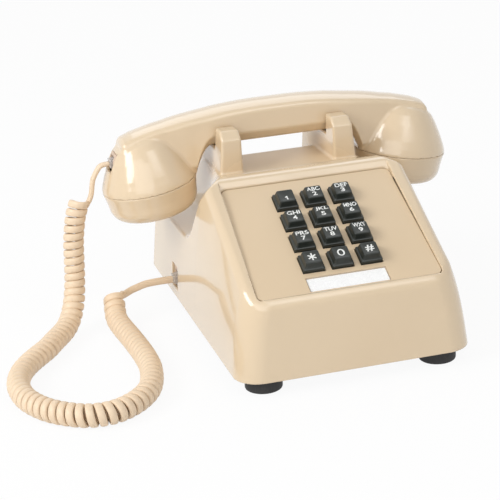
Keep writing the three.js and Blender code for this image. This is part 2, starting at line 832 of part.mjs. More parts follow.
const armHalf = 3.5;
const leverHalf = PLUNGER_X + armHalf;
let lever = box(-leverHalf, LEVER_Y - 4, LEVER_Z - LEVER_T / 2, leverHalf, LEVER_Y + 5, leverTop);
for (const s of [-1, 1]) {
  const x0 = s * PLUNGER_X - armHalf;
  lever = lever.add(box(x0, LEVER_Y, LEVER_Z - LEVER_T / 2, x0 + 2 * armHalf, CHANNEL_Y + 5, leverTop));
}
lever = lever.add(barX(-leverHalf - 3.6, leverHalf + 3.6, LEVER_Y, LEVER_Z, LEVER_PIN_R, 12));
add("hook_lever", lever, STEEL);

// sheet bracket that carries the lever's pins, standing on the base plate
const floorZ = baseHigh + GAP;
const bracketX = leverHalf + GAP + 0.4;
let hookBracket = box(-bracketX - 2, LEVER_Y - 5, floorZ, bracketX + 2, LEVER_Y + 5, floorZ + 1.6);
for (const s of [-1, 1]) {
  const x0 = s > 0 ? bracketX : -bracketX - 2;
  hookBracket = hookBracket.add(box(x0, LEVER_Y - 5, floorZ, x0 + 2, LEVER_Y + 5, LEVER_Z + 5));
}
hookBracket = hookBracket.subtract(barX(-60, 60, LEVER_Y, LEVER_Z, LEVER_PIN_R + GAP, 12));
add("hook_bracket", hookBracket, STEEL);

// stack of contact springs beside the bracket's left upright, under the lever
const stackX = -bracketX + GAP;
const stackTop = LEVER_Z - LEVER_T / 2 - GAP;
const stackY = LEVER_Y + LEVER_PIN_R + GAP;
let contacts = box(stackX, stackY - 4, stackTop - 13.6, stackX + 8, stackY + 2, stackTop - 1);
for (let i = 0; i < 4; i += 1) {
  const z = stackTop - 1.6 - i * 3.4;
  contacts = contacts.add(box(stackX + 1, stackY - 3, z, stackX + 22 - i * 2, stackY + 2, z + 0.6));
}
contacts = contacts.add(box(stackX + 18, stackY, stackTop - 1.2, stackX + 21, stackY + 2, stackTop));
add("hook_contacts", contacts, BRASS);

// ---------------------------------------------------------------- network block and ringer

let network = box(-48, -66, floorZ, 14, -20, floorZ + 17);
for (let i = 0; i < 5; i += 1) {
  network = network.add(post(-42 + i * 11, -25, floorZ + 16, floorZ + 20, 2.2, 2.2, 8));
}
add("network_block", network, GREY);

const gongLow = GONG_TOP_Z - GONG_H;
let ringerBracket = box(-GONG_X - 7, 18, floorZ + 2.2, GONG_X + 7, GONG_Y + 8, floorZ + 3.8);
ringerBracket = ringerBracket.add(box(-GONG_X - 7, GONG_Y - 6, floorZ, GONG_X + 7, GONG_Y + 8, floorZ + 3));
for (const s of [-1, 1]) {
  ringerBracket = ringerBracket.add(
    post(s * GONG_X, GONG_Y, floorZ + 3, GONG_TOP_Z - GONG_T - GAP, POST_R, POST_R, 12),
  );
}
const earX = WHEEL_T / 2 + 0.6;
ringerBracket = ringerBracket.add(box(-8, GONG_Y + 4, floorZ, 8, WHEEL_Y - WHEEL_R - 1, floorZ + 1.6));
for (const s of [-1, 1]) {
  const x0 = s > 0 ? earX : -earX - 1.4;
  ringerBracket = ringerBracket.add(box(x0, GONG_Y + 4, floorZ, x0 + 1.4, WHEEL_Y + 4, WHEEL_Z + 4));
}
ringerBracket = cut(
  ringerBracket,
  barX(-20, 20, WHEEL_Y, WHEEL_Z, 1.5 + GAP, 10),
  ...[-1, 1].map((s) => post(s * GONG_X, GONG_Y, GONG_TOP_Z - 10, GONG_TOP_Z + 5, 1.7, 1.7, 8)),
);
add("ringer_bracket", ringerBracket, STEEL);

for (const [name, s] of [
  ["gong_left", -1],
  ["gong_right", 1],
]) {
  const t = GONG_T;
  const r = GONG_R;
  const top = GONG_TOP_Z;
  const gong = turned(
    [
      [1.8, top - t],
      [r * 0.5, top - t - 0.8],
      [r * 0.82, top - t - 4],
      [r - t - 0.6, top - 9],
      [r - t, gongLow],
      [r, gongLow],
      [r - 0.6, top - 8],
      [r * 0.86, top - 3.2],
      [r * 0.52, top - 0.6],
      [1.8, top],
      [1.8, top - t],
    ],
    24,
  );
  add(name, gong, BRASS).position.set(s * GONG_X, GONG_Y, 0);
  const screw = turned(
    [
      [0, GONG_TOP_Z - 9],
      [1.4, GONG_TOP_Z - 9],
      [1.4, GONG_TOP_Z + GAP],
      [3.4, GONG_TOP_Z + GAP],
      [3.4, GONG_TOP_Z + 1.6],
      [2.6, GONG_TOP_Z + 2.4],
      [0, GONG_TOP_Z + 2.4],
    ],
    12,
  );
  add(name.replace("gong", "gong_screw"), screw, STEEL).position.set(s * GONG_X, GONG_Y, 0);
}

const coilZ = floorZ + 3.8 + GAP;
let ringerCoil = box(-13, 19, coilZ + 2, 13, 31, coilZ + 17);
ringerCoil = union(
  ringerCoil,
  box(-15, 18.4, coilZ, 15, 32, coilZ + 2.4),
  box(-15, 18.4, coilZ + 16.6, 15, 32, coilZ + 19),
);
add("ringer_coil", ringerCoil, COPPER);

const clapperY = 34.6;
const clapperZ = coilZ + 9.5;
let clapper = post(0, clapperY, clapperZ - 5, clapperZ + 5, 2, 2, 12);
clapper = clapper.add(box(-0.8, clapperY, clapperZ - 1.5, 0.8, GONG_Y, clapperZ + 1.5));
clapper = clapper.add(solid(moved(new THREE.SphereGeometry(3.2, 12, 8), 0, GONG_Y, clapperZ)));
add("clapper", clapper, STEEL);

let wheel = barX(-WHEEL_T / 2, WHEEL_T / 2, WHEEL_Y, WHEEL_Z, WHEEL_R, 24);
wheel = wheel.add(barX(-5.5, 5.5, WHEEL_Y, WHEEL_Z, 1.5, 10));
add("volume_wheel", wheel, GREY);

// ---------------------------------------------------------------- jacks and plugs

// body of a modular jack along X or Y, with its socket open at one end
function jackBody(w, h, depth, plugW, plugH, socketDepth) {
  const shell = box(-w / 2, 0, -h / 2, w / 2, depth, h / 2);
  const low = -h / 2 + 2;
  return cut(
    shell,
    box(-plugW / 2 - GAP, -1, low - GAP, plugW / 2 + GAP, socketDepth, low + plugH + GAP),
    box(-2, -1, low + plugH, 2, socketDepth, low + plugH + 3.2),
  );
}
// clear plug with its latch, pointing into the socket along +Y
function plugBody(w, h, inside, outside) {
  const low = -JACK_H / 2 + 2;
  const body = box(-w / 2, -outside, low, w / 2, inside, low + h);
  const latch = solid(
    slab(
      [
        [inside - 2, low + h - 0.6],
        [inside - 1, low + h + 1.2],
        [-outside - 1.5, low + h + 3],
        [-outside - 1.5, low + h + 1.9],
        [inside - 5, low + h - 0.6],
      ],
      -1.5,
      1.5,
    ),
  );
  return body.add(latch);
}
const plugMidZ = -JACK_H / 2 + 2 + PLUG_H / 2;

const sideJack = jackBody(JACK_W, JACK_H, 15, PLUG_W, PLUG_H, 11);
const sideTurn = -Math.PI / 2;
const sideJackX = leftWallX + 1.6;
add("cord_jack", sideJack, GREY);
telephone.children.at(-1).position.set(sideJackX, SIDE_JACK_Y, SIDE_JACK_Z);
telephone.children.at(-1).rotation.z = sideTurn;
add("base_plug", plugBody(PLUG_W, PLUG_H, 10.4, 5.4), CLEAR);
telephone.children.at(-1).position.set(sideJackX, SIDE_JACK_Y, SIDE_JACK_Z);
telephone.children.at(-1).rotation.z = sideTurn;

const lineJack = jackBody(LINE_JACK_W, LINE_JACK_W, 14, 10, 7, 11);
add("line_jack", lineJack, GREY);
telephone.children.at(-1).position.set(LINE_JACK_X, backWallY - 0.6, LINE_JACK_Z);
telephone.children.at(-1).rotation.z = Math.PI;

// ---------------------------------------------------------------- handset

// upper line of the handle along X: [x, z]
const crown = [
  [0, 132.8],
  [18, 132.6],
  [34, 131.7],
  [46, 130],
  [60, 128.2],
  [72, 125.8],
  [85, 122.9],
  [92, 121.1],
  [98, 118.9],
  [103, 115.2],
];
function crownZ(x) {
  const a = Math.abs(x);
  for (let i = 1; i < crown.length; i += 1) {
    if (a <= crown[i][0]) {
      const t = (a - crown[i - 1][0]) / (crown[i][0] - crown[i - 1][0]);
      return crown[i - 1][1] + t * (crown[i][1] - crown[i - 1][1]);
    }
  }
  return crown.at(-1)[1];
}
// lower line of the handle: level over the cradle, then dropping into the cups
function bellyZ(x) {
  const a = Math.max(0, Math.abs(x) - 44);
  return Math.max(CUP_Z + 9, HANDLE_BOTTOM_Z - a * a * 0.05);
}
function handleRing(x) {
  const top = crownZ(x);
  const low = bellyZ(x);
  const seam = low + 0.27 * (top - low);
  const half = [
    [HANDLE_HALF_LOW, low],
    [HANDLE_HALF_SEAM - 1.4, low + 0.1 * (top - low)],
    [HANDLE_HALF_SEAM, seam],
    [HANDLE_HALF_TOP + 0.8, top - 6.4],
    [HANDLE_HALF_TOP - 0.4, top - 4.2],
    [HANDLE_HALF_TOP - 4, top - 1.4],
    [3, top],
  ];
  const ring = half.map(([y, z]) => [x, CHANNEL_Y + y, z]);
  for (let i = half.length - 1; i >= 0; i -= 1) {
    ring.push([x, CHANNEL_Y - half[i][0], half[i][1]]);
  }
  return ring;
}
const handleStations = [-90, -74, -62, -56, -50, -44, -32, -16, 0, 16, 32, 44, 50, 56, 62, 74, 90];
const handle = solid(skinned(handleStations.map(handleRing)));

// a cup's own axes: origin at the middle of the cap seam, +Z up along the cup, tilted outwards
function cupMatrix(side) {
  return new THREE.Matrix4().compose(
    new THREE.Vector3(side * CUP_X, CHANNEL_Y, CUP_Z),
    new THREE.Quaternion().setFromEuler(new THREE.Euler(0, side * CUP_TILT * DEG, 0)),
    new THREE.Vector3(1, 1, 1),
  );
}
const dome = [
  [CUP_R, 0],
  [CUP_R - 0.6, 3],
  [CUP_R - 2.2, 7],
  [CUP_R - 5, 13],
  [CUP_R - 8.2, 19],
  [CUP_R - 12.2, 25],
  [CUP_R - 17.2, 29.6],
  [CUP_R - 23.2, 32.8],
];
const cupSolid = solid(turned([[0, 0], ...dome, [0, 34]], 32));
const socketR = CUP_R - SHELL_WALL - 0.8;
const cupHollow = solid(
  turned(
    [
      [0, -2],
      [socketR, -2],
      [socketR, SLEEVE_H + 2],
      [socketR - 2, SLEEVE_H + 2.4],
      [CUP_R - 8.6, 15],
      [CUP_R - 13, 21],
      [CUP_R - 20, 26.4],
      [0, 28.4],
    ],
    28,
  ),
);
// everything above the handset's upper line is trimmed off the domes
function crownTrim(margin) {
  const line = [];
  for (let x = -126; x <= 126; x += 7) {
    line.push([x, crownZ(x) - margin]);
  }
  const shape = new THREE.Shape(
    [[-126, 170], ...line, [126, 170]].map(([x, z]) => new THREE.Vector2(x, z)),
  );
  const g = new THREE.ExtrudeGeometry(shape, { depth: 100, bevelEnabled: false });
  // outline in X and Z, run along Y
  return solid(moved(g, 0, CHANNEL_Y + 50, 0, Math.PI / 2));
}
const trim = crownTrim(0);
let handsetShell = union(
  handle,
  placed(cupSolid, cupMatrix(1)).subtract(trim),
  placed(cupSolid, cupMatrix(-1)).subtract(trim),
);
const channelRing = (x) => {
  const z = (crownZ(x) + bellyZ(x)) / 2 + 1.5;
  return [
    [x, CHANNEL_Y + 5, z - 4],
    [x, CHANNEL_Y + 5, z + 4],
    [x, CHANNEL_Y - 5, z + 4],
    [x, CHANNEL_Y - 5, z - 4],
  ];
};
// the channel ends inside the cups' hollows, near their tops
const channelEnd = CUP_X - (CUP_R - HOLLOW_TOP_IN);
const channelStations = [-channelEnd, -56, -40, -20, 0, 20, 40, 56, channelEnd];
const wireChannel = solid(skinned(channelStations.map(channelRing)));
const handsetJackX = -(CUP_X + CUP_R - JACK_SET_IN);
const handsetJackHole = box(
  handsetJackX - 12,
  CHANNEL_Y - JACK_W / 2 - GAP,
  HANDSET_JACK_Z - JACK_H / 2 - GAP,
  handsetJackX + 16,
  CHANNEL_Y + JACK_W / 2 + GAP,
  HANDSET_JACK_Z + JACK_H / 2 + GAP,
);
const trimInside = crownTrim(SHELL_WALL);
handsetShell = cut(
  handsetShell,
  placed(cupHollow, cupMatrix(1)).subtract(trimInside),
  placed(cupHollow, cupMatrix(-1)).subtract(trimInside),
  wireChannel,
  handsetJackHole,
);
add("handset_shell", handsetShell, BEIGE);

// screw-on caps: a tapered skirt with a threaded sleeve that reaches up inside the cup
function capSolid(holes) {
  const sleeveR = socketR - 0.4;
  const profile = [
    [0, -CAP_DEPTH + 1.2],
    [14, -CAP_DEPTH + 0.4],
    [CUP_R - 7, -CAP_DEPTH],
    [CUP_R - 4.6, -CAP_DEPTH + 1.4],
    [CUP_R - 2.4, -CAP_DEPTH + 4.6],
    [CUP_R - 1.4, -8],
    [CUP_R - 0.4, -3],
    [CUP_R, -GAP],
    [sleeveR, -GAP],
    [sleeveR, SLEEVE_H],
    [sleeveR - CAP_WALL, SLEEVE_H],
    [sleeveR - CAP_WALL, -3],
    [CUP_R - 4.8, -CAP_DEPTH + 6.6],
    [CUP_R - 6, -CAP_DEPTH + CAP_WALL + 1],
    [0, -CAP_DEPTH + CAP_WALL + 1.4],
  ];
  let cap = solid(turned(profile, 32));
  for (const [r, count] of holes) {
    for (let i = 0; i < count; i += 1) {
      const a = (2 * Math.PI * i) / count;
      const x = r * Math.cos(a);
      const y = r * Math.sin(a);
      cap = cap.subtract(post(x, y, -CAP_DEPTH - 3, -CAP_DEPTH + 8, 1.3, 1.3, 6));
    }
  }
  return cap;
}
function inCup(name, shape, look, side) {
  const mesh = add(name, shape, look);
  mesh.position.set(side * CUP_X, CHANNEL_Y, CUP_Z);
  mesh.rotation.y = side * CUP_TILT * DEG;
  return mesh;
}
inCup("transmitter_cap", capSolid([[0, 1], [6, 6], [12, 8]]), BEIGE, -1);
inCup("receiver_cap", capSolid([[0, 1], [5, 6]]), BEIGE, 1);

const capsuleR = socketR - CAP_WALL - 0.8;
const capsuleLow = -CAP_DEPTH + CAP_WALL + 1.4 + GAP;
function capsule(top) {
  return turned(
    [
      [0, capsuleLow],
      [capsuleR - 1, capsuleLow],
      [capsuleR, capsuleLow + 1],
      [capsuleR, capsuleLow + 5],
      [capsuleR - 5, top],
      [0, top],
    ],
    24,
  );
}
inCup("transmitter_capsule", capsule(-5), STEEL, -1);
inCup("receiver_capsule", capsule(-3), GREY, 1);
inCup(
  "transmitter_cup",
  turned(
    [
      [0, -5 + GAP],
      [CUP_R - 14, -5 + GAP],
      [CUP_R - 11, -2],
      [socketR - CAP_WALL - 1, 2],
      [socketR - CAP_WALL - 1, SLEEVE_H - 1.6],
      [0, SLEEVE_H - 1.6],
    ],
    24,
  ),
  BLACK,
  -1,
);

const handsetJack = jackBody(JACK_W, JACK_H, 14.4, PLUG_W, PLUG_H, 11);
add("handset_jack", handsetJack, GREY);
telephone.children.at(-1).position.set(handsetJackX + 0.6, CHANNEL_Y, HANDSET_JACK_Z);
telephone.children.at(-1).rotation.z = sideTurn;
add("handset_plug", plugBody(PLUG_W, PLUG_H, 10.4, 5.4), CLEAR);
telephone.children.at(-1).position.set(handsetJackX + 0.6, CHANNEL_Y, HANDSET_JACK_Z);
telephone.children.at(-1).rotation.z = sideTurn;

// ---------------------------------------------------------------- cord

// round section run along a list of points
function cordTube(points, radius, sides, steps) {
  const curve = new THREE.CatmullRomCurve3(
    points.map(([x, y, z]) => new THREE.Vector3(x, y, z)),
    false,
    "centripetal",
  );
  const section = new THREE.Shape();
  for (let i = 0; i < sides; i += 1) {
    const a = (2 * Math.PI * i) / sides;
    const [x, y] = [radius * Math.cos(a), radius * Math.sin(a)];
    if (i === 0) {
      section.moveTo(x, y);
    } else {
      section.lineTo(x, y);
    }
  }
  section.closePath();
  return new THREE.ExtrudeGeometry(section, { steps, bevelEnabled: false, extrudePath: curve });
}

const plugOutHandset = handsetJackX + 0.6 - 5.4 - 0.4;
const plugOutBase = sideJackX - 5.4 - 0.4;
const leadTopZ = HANDSET_JACK_Z + plugMidZ;
const leadBaseZ = SIDE_JACK_Z + plugMidZ;
// from the handset's plug, curving down to the first turn of the coil
const handsetLead = [
  [plugOutHandset, CHANNEL_Y, leadTopZ],
  [plugOutHandset - 1.6, CHANNEL_Y, leadTopZ - 0.3],
  [-115.4, 40.7, 98.4],
  [-118.9, 40.6, 92.6],
  [-122.4, 40.5, 87.6],
  [-125.6, 40.4, 83.6],
  [-127.4, 40.4, 80.8],
];
// middle line of the coil: it hangs to the table, runs forward, loops round and comes back to the jack
const coilRoute = [
  [-127.7, 40.35, 80.3],
  [-130.6, 40.2, 72.6],
  [-132.4, 40, 64],
  [-133.7, 39.6, 55],
  [-134.4, 38.9, 45],
  [-135.2, 37.6, 34.6],
  [-136.6, 35, 25],
  [-138.8, 31, 17],
  [-142.2, 25.4, 10.6],
  [-146.4, 18.6, 7.4],
  [-151, 11.4, 6.6],
  [-157, 2, 6.6],
  [-163, -8, 6.6],
  [-170.4, -17.4, 6.6],
  [-177, -26.4, 6.6],
  [-183, -37, 6.6],
  [-187, -49, 6.6],
  [-188.4, -62, 6.6],
  [-186, -79, 6.6],
  [-177.2, -96.6, 6.6],
  [-163.4, -109.4, 6.6],
  [-151.6, -113.4, 6.6],
  [-139.6, -111.4, 6.6],
  [-126.6, -101.8, 6.6],
  [-117, -87, 6.6],
  [-111.4, -64, 6.6],
  [-110.4, -42, 6.6],
  [-111.8, -14, 6.6],
  [-113.4, 6, 6.6],
  [-114, 18, 6.8],
  [-113.9, 24, 8.4],
  [-113.2, 29.4, 12.4],
  [-112.4, 33.4, 16.4],
];
const baseLead = [
  [-112.33, 33.75, 16.75],
  [-112.1, 34.95, 17.95],
  [-110.4, 36.9, 18.3],
  [-107, 38.6, 17.4],
  [-102, 39.8, 17.5],
  [-96, 40.4, 18.9],
  [-90, 40.9, 20.2],
  [-83, 41, leadBaseZ],
  [plugOutBase, SIDE_JACK_Y, leadBaseZ],
];
add("cord_lead_handset", cordTube(handsetLead, WIRE_R, 8, 7), CORD);
add("cord_coil", cordTube(coilRoute, COIL_R, 10, 34), CORD);
add("cord_lead_base", cordTube(baseLead, WIRE_R, 8, 8), CORD);

export default telephone;
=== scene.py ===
# %% [markdown]
# # A desk telephone with push buttons and a curly cord
# The telephone is a moulded wedge with a cradle on its back, a handset that lies across it, twelve keys
# and a cord. Its moving frame comes ready made: every plain part already has its place and its joint.
# This lesson gives that frame its real surfaces: soft moulded edges, dished keys, a wound cord, finishes.
# Lengths are in millimetres while a shape is worked out, and become metres when its mesh is made.

# %% Load the frame
import bpy
import math
import numpy as np
from mathutils import Matrix, Vector


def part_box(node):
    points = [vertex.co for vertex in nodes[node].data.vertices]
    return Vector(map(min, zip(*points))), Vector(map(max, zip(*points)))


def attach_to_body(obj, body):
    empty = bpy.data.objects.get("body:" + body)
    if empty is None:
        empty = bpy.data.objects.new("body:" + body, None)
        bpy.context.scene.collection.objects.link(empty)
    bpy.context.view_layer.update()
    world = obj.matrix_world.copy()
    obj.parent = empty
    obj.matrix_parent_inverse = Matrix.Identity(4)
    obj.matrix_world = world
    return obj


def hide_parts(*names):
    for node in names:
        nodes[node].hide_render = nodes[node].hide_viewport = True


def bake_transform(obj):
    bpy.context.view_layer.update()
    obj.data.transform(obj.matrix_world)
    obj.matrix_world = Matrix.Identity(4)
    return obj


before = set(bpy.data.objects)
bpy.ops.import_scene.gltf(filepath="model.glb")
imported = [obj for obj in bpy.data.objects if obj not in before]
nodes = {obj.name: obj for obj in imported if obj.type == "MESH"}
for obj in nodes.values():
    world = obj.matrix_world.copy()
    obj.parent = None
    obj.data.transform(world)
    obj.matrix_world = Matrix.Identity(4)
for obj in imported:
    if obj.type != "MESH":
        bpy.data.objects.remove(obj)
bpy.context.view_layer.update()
print("parts in the frame:", len(nodes))

# %% [markdown]
# ## Camera
# A long lens from a little over a metre, to the left of the middle and about 20 degrees up, keeps the
# upright lines nearly parallel. The camera is placed by three directions of its own: right, up and back.
# They are squared up first, because a camera's axes must be at right angles.

# %% Camera
MM = 0.001
SENSOR_WIDE, LENS = 36, 129.6
CAMERA_PLACE = (-295.8, -1012.4, 426.1)
CAMERA_RIGHT, CAMERA_BACK = (0.9605, -0.2726, -0.0569), (-0.2381, -0.9098, 0.34)


def new_object(name, data):
    made = bpy.data.objects.new(name, data)
    bpy.context.scene.collection.objects.link(made)
    return made


def make_camera(place, right, back, lens):
    right = Vector(right).normalized()
    back = Vector(back)
    back = (back - right * back.dot(right)).normalized()
    up = back.cross(right)
    data = bpy.data.cameras.new("camera")
    data.sensor_width = SENSOR_WIDE
    data.lens = lens
    data.clip_end = 20  # metres
    camera = new_object("camera", data)
    turn = Matrix((right, up, back)).transposed()
    camera.matrix_world = Matrix.Translation(Vector(place) * MM) @ turn.to_4x4()
    bpy.context.scene.camera = camera
    return camera


camera = make_camera(CAMERA_PLACE, CAMERA_RIGHT, CAMERA_BACK, LENS)
print("camera at", [round(v, 3) for v in camera.matrix_world.translation])

# %% [markdown]
# ## From arrays to meshes
# Most pieces here are worked out as arrays of points in millimetres, so one helper turns such arrays
# into a mesh object in metres. Pieces that are lofted, turned or drawn along a line are all rings of
# points, so the faces between rings come from one helper too. A last one gives a finished piece its
# material, hides the frame's parts that it stands for, and ties it to the body that it moves with.

# %% Mesh helpers
def make_mesh(name, points, faces):
    points = np.asarray(points, dtype=float) * MM
    mesh = bpy.data.meshes.new(name)
    mesh.from_pydata(points.tolist(), [], [list(map(int, f)) for f in faces])
    mesh.validate()
    mesh.update()
    mesh.polygons.foreach_set("use_smooth", np.ones(len(mesh.polygons), dtype=bool))
    return new_object(name, mesh)


def ring_faces(rings, count):
    """Faces that join rings of points, one after the other, and one face over each end."""
    faces = []
    for i in range(rings - 1):
        for k in range(count):
            n = (k + 1) % count
            faces.append((i * count + k, i * count + n, (i + 1) * count + n, (i + 1) * count + k))
    faces.append(tuple(reversed(range(count))))
    faces.append(tuple(range((rings - 1) * count, rings * count)))
    return faces


def evaluated_mesh(piece):
    """The mesh as its modifiers leave it, with no modifier on it any more."""
    graph = bpy.context.evaluated_depsgraph_get()
    mesh = bpy.data.meshes.new_from_object(piece.evaluated_get(graph))
    piece.modifiers.clear()
    piece.data = mesh
    return mesh


def mesh_points(mesh):
    out = np.empty(len(mesh.vertices) * 3)
    mesh.vertices.foreach_get("co", out)
    return out.reshape(-1, 3) / MM


def attach(piece, material, body, slot, *stands_for):
    piece.data.materials.append(material)
    if stands_for:
        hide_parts(*stands_for)
    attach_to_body(piece, body)
    return piece


print("mesh helpers ready")

# %% [markdown]
# ## Shader expressions
# A finish is a small sum of noises and colours. Written as nodes by hand it is long, so a socket is
# wrapped in a class on which + and * work, and - after a plain number: each adds one Math node. Every
# other node comes from one method that takes the node's type, its sockets and its settings.

# %% Shader helper
class Wire:
    """One output of a shader node. Sums and products on it add Math nodes."""

    def __init__(self, owner, socket):
        self.owner = owner
        self.socket = socket

    def _math(self, operation, first, second):
        return self.owner.node("ShaderNodeMath", {0: first, 1: second}, operation=operation)

    def __add__(self, other):
        return self._math("ADD", self, other)

    def __mul__(self, other):
        return self._math("MULTIPLY", self, other)

    def __rsub__(self, other):
        return self._math("SUBTRACT", other, self)

    __radd__, __rmul__ = __add__, __mul__


class Nodes:
    """A node tree, and one method that adds any node to it."""

    def __init__(self, tree):
        self.tree = tree

    def node(self, kind, sockets=None, out=0, **settings):
        made = self.tree.nodes.new(kind)
        for key, value in settings.items():
            setattr(made, key, value)
        for key, value in (sockets or {}).items():
            if isinstance(value, Wire):
                self.tree.links.new(value.socket, made.inputs[key])
            else:
                made.inputs[key].default_value = value
        return Wire(self, made.outputs[out]) if made.outputs else None

    def looked_at(self):
        """1 for a ray that the camera, a reflection or something clear sends straight here."""
        ray = self.node("ShaderNodeLightPath").socket.node
        kinds = ("Is Camera Ray", "Is Glossy Ray", "Is Transmission Ray")
        straight, mirrored, clear = (Wire(self, ray.outputs[kind]) for kind in kinds)
        return straight + mirrored + clear


print("wire and node helpers ready")

# %% Finish helper
class Finish(Nodes):
    """A material with a Principled shader."""

    def __init__(self, name, **fixed):
        self.material = bpy.data.materials.new(name)
        self.material.use_nodes = True
        super().__init__(self.material.node_tree)
        self.shader = next(n for n in self.tree.nodes if n.type == "BSDF_PRINCIPLED")
        for socket, value in fixed.items():
            self.shader.inputs[socket.replace("_", " ")].default_value = value

    def places(self):
        return self.node("ShaderNodeTexCoord", out="Object")

    def noise(self, scale, detail=2.0, roughness=0.5, stretch=None):
        where = self.places()
        if stretch:
            where = self.node("ShaderNodeMapping", {"Vector": where, "Scale": stretch})
        sockets = {"Vector": where, "Scale": scale, "Detail": detail, "Roughness": roughness}
        return self.node("ShaderNodeTexNoise", sockets, out="Fac")

    def blend(self, share, first, second):
        return self.node("ShaderNodeMix", {0: share, 6: first, 7: second}, out=2, data_type="RGBA")

    def nearness(self, centre, reach, stretch=(1, 1, 1)):
        """1 at a place, falling smoothly to 0 at a distance from it, which may differ along each axis."""
        moved = tuple(-c * s for c, s in zip(centre, stretch))
        sockets = {"Vector": self.places(), "Location": moved, "Scale": stretch}
        where = self.node("ShaderNodeMapping", sockets)
        far = self.node("ShaderNodeVectorMath", {0: where}, out="Value", operation="LENGTH")
        sockets = {0: far, 1: 0.7 * reach, 2: reach, 3: 1.0, 4: 0.0}
        return self.node("ShaderNodeMapRange", sockets, interpolation_type="SMOOTHSTEP")

    def feed(self, socket, wire):
        self.tree.links.new(wire.socket, self.shader.inputs[socket])

    def bump(self, height, strength, depth):
        sockets = {"Height": height, "Strength": strength, "Distance": depth}
        self.feed("Normal", self.node("ShaderNodeBump", sockets, out="Normal"))


def colour(red, green, blue):
    """A colour as a paint chart gives it, from 0 to 255, as the shader's linear numbers."""
    def linear(v):
        v = v / 255
        return v / 12.92 if v <= 0.04045 else ((v + 0.055) / 1.055) ** 2.4

    return (linear(red), linear(green), linear(blue), 1.0)


print("finish helper ready")

# %% [markdown]
# ## Finishes: moulded plastics
# The housing and handset are glossy styrene-like plastic. It is one colour through and through, but a
# real moulding is never perfectly even: the tint drifts a little over a hand's breadth, the polish is
# duller where hands and dust wore it, and the gloss shows a faint orange peel. Noises of very different
# sizes give these effects, and a clear coat gives the polish. On the housing the shelf between the
# saddles is rubbed dull by fingers, so the coat fades out there. The face plate is satin all over.

# %% Beige plastics
def moulded(name, light, dark, gloss, drift, peel, speck=0.02, polish=0.0, rubbed=None):
    finish = Finish(name, IOR=1.5, Coat_Weight=polish, Coat_Roughness=0.04)
    tint = finish.noise(14, 3)
    grain = finish.noise(2600, 1)
    base = finish.blend(tint, light, dark)
    worn = finish.blend(speck * grain, base, tuple(0.72 * c for c in dark[:3]) + (1,))
    finish.feed("Base Color", worn)
    rough = gloss + drift * finish.noise(38, 4) + 0.05 * finish.noise(900, 1)
    if rubbed:
        share = finish.nearness(*rubbed)
        rough = rough + 0.2 * share
        finish.feed("Coat Weight", polish - polish * share)
    finish.feed("Roughness", rough)
    finish.bump(finish.noise(420, 2), peel, 0.0002)
    return finish.material


BEIGE = (colour(222, 201, 170), colour(214, 191, 158), 0.12, 0.08, 0.04)
SHELF = (0, 0.03, 0.094)
beige_gloss = moulded("beige_gloss", *BEIGE, polish=0.7)
housing_gloss = moulded("housing_gloss", *BEIGE, polish=0.7, rubbed=(SHELF, 0.052, (1, 0.9, 3)))
beige_satin = moulded(
    "beige_satin", colour(221, 199, 168), colour(213, 190, 157), 0.32, 0.08, 0.12, 0.05
)
key_black = moulded("key_black", colour(40, 45, 41), colour(30, 34, 30), 0.27, 0.12, 0.12, 0.1)
jack_cream = moulded("jack_cream", colour(214, 190, 168), colour(200, 174, 150), 0.3, 0.1, 0.1)
part_grey = moulded("part_grey", colour(126, 128, 130), colour(112, 114, 116), 0.38, 0.1, 0.1)
cup_black = moulded("cup_black", colour(48, 48, 47), colour(38, 38, 38), 0.4, 0.1, 0.1)
print("plastics:", beige_gloss.name, beige_satin.name, key_black.name)

# %% [markdown]
# ## Finishes: rubber, card, legends, clear plastic
# Rubber feet are matt with a fine tooth. The number card is plain white stock under a clear window. The
# legends are moulded through the keys in white plastic. The plugs and the window are clear: an alpha
# well under one with a low roughness leaves only their glints and a pale tint. Mostly one noise drives
# the colour and the roughness together, because wear changes both at once.

# %% Rubber, card and clear plastic
def grained(name, ior, grain, light, dark, rough, wear=None, bump=None, alpha=None):
    """One noise for the colour, the bump and the haze, and for the roughness unless it has its own."""
    finish = Finish(name, IOR=ior)
    noise = finish.noise(*grain)
    finish.feed("Base Color", finish.blend(noise, light, dark))
    finish.feed("Roughness", rough[0] + rough[1] * (finish.noise(*wear) if wear else noise))
    if bump:
        finish.bump(noise, *bump)
    if alpha:
        finish.feed("Alpha", alpha + 0.08 * noise)
    return finish.material


def clear_finish(name, tint, alpha):
    return grained(name, 1.49, (700, 2), tint, colour(236, 238, 238), (0.05, 0.08), alpha=alpha)


RUBBER = (colour(34, 34, 34), colour(50, 49, 48))
CARD = (colour(255, 255, 255), colour(250, 250, 249))
SIGNS = (colour(244, 245, 242), colour(222, 224, 220))
black_rubber = grained("black_rubber", 1.5, (900, 3), *RUBBER, (0.55, 0.2), (120, 2), (0.25, 0.0002))
white_card = grained("white_card", 1.45, (1500, 3, 0.6, (1, 0.25, 1)), *CARD, (0.5, 0.15))
legend_white = grained("legend_white", 1.5, (1800, 2), *SIGNS, (0.35, 0.15))
clear_plug = clear_finish("clear_plug", colour(205, 196, 190), 0.42)
clear_window = clear_finish("clear_window", colour(255, 255, 255), 0.03)
print("plain finishes:", black_rubber.name, white_card.name, clear_plug.name)

# %% [markdown]
# ## Finishes: metals and the cord
# The base plate and brackets are zinc-plated steel, whose crystals show as soft patches. The gongs and
# contact springs are brass. The cord's jacket is a soft matt plastic a little pinker than the housing.

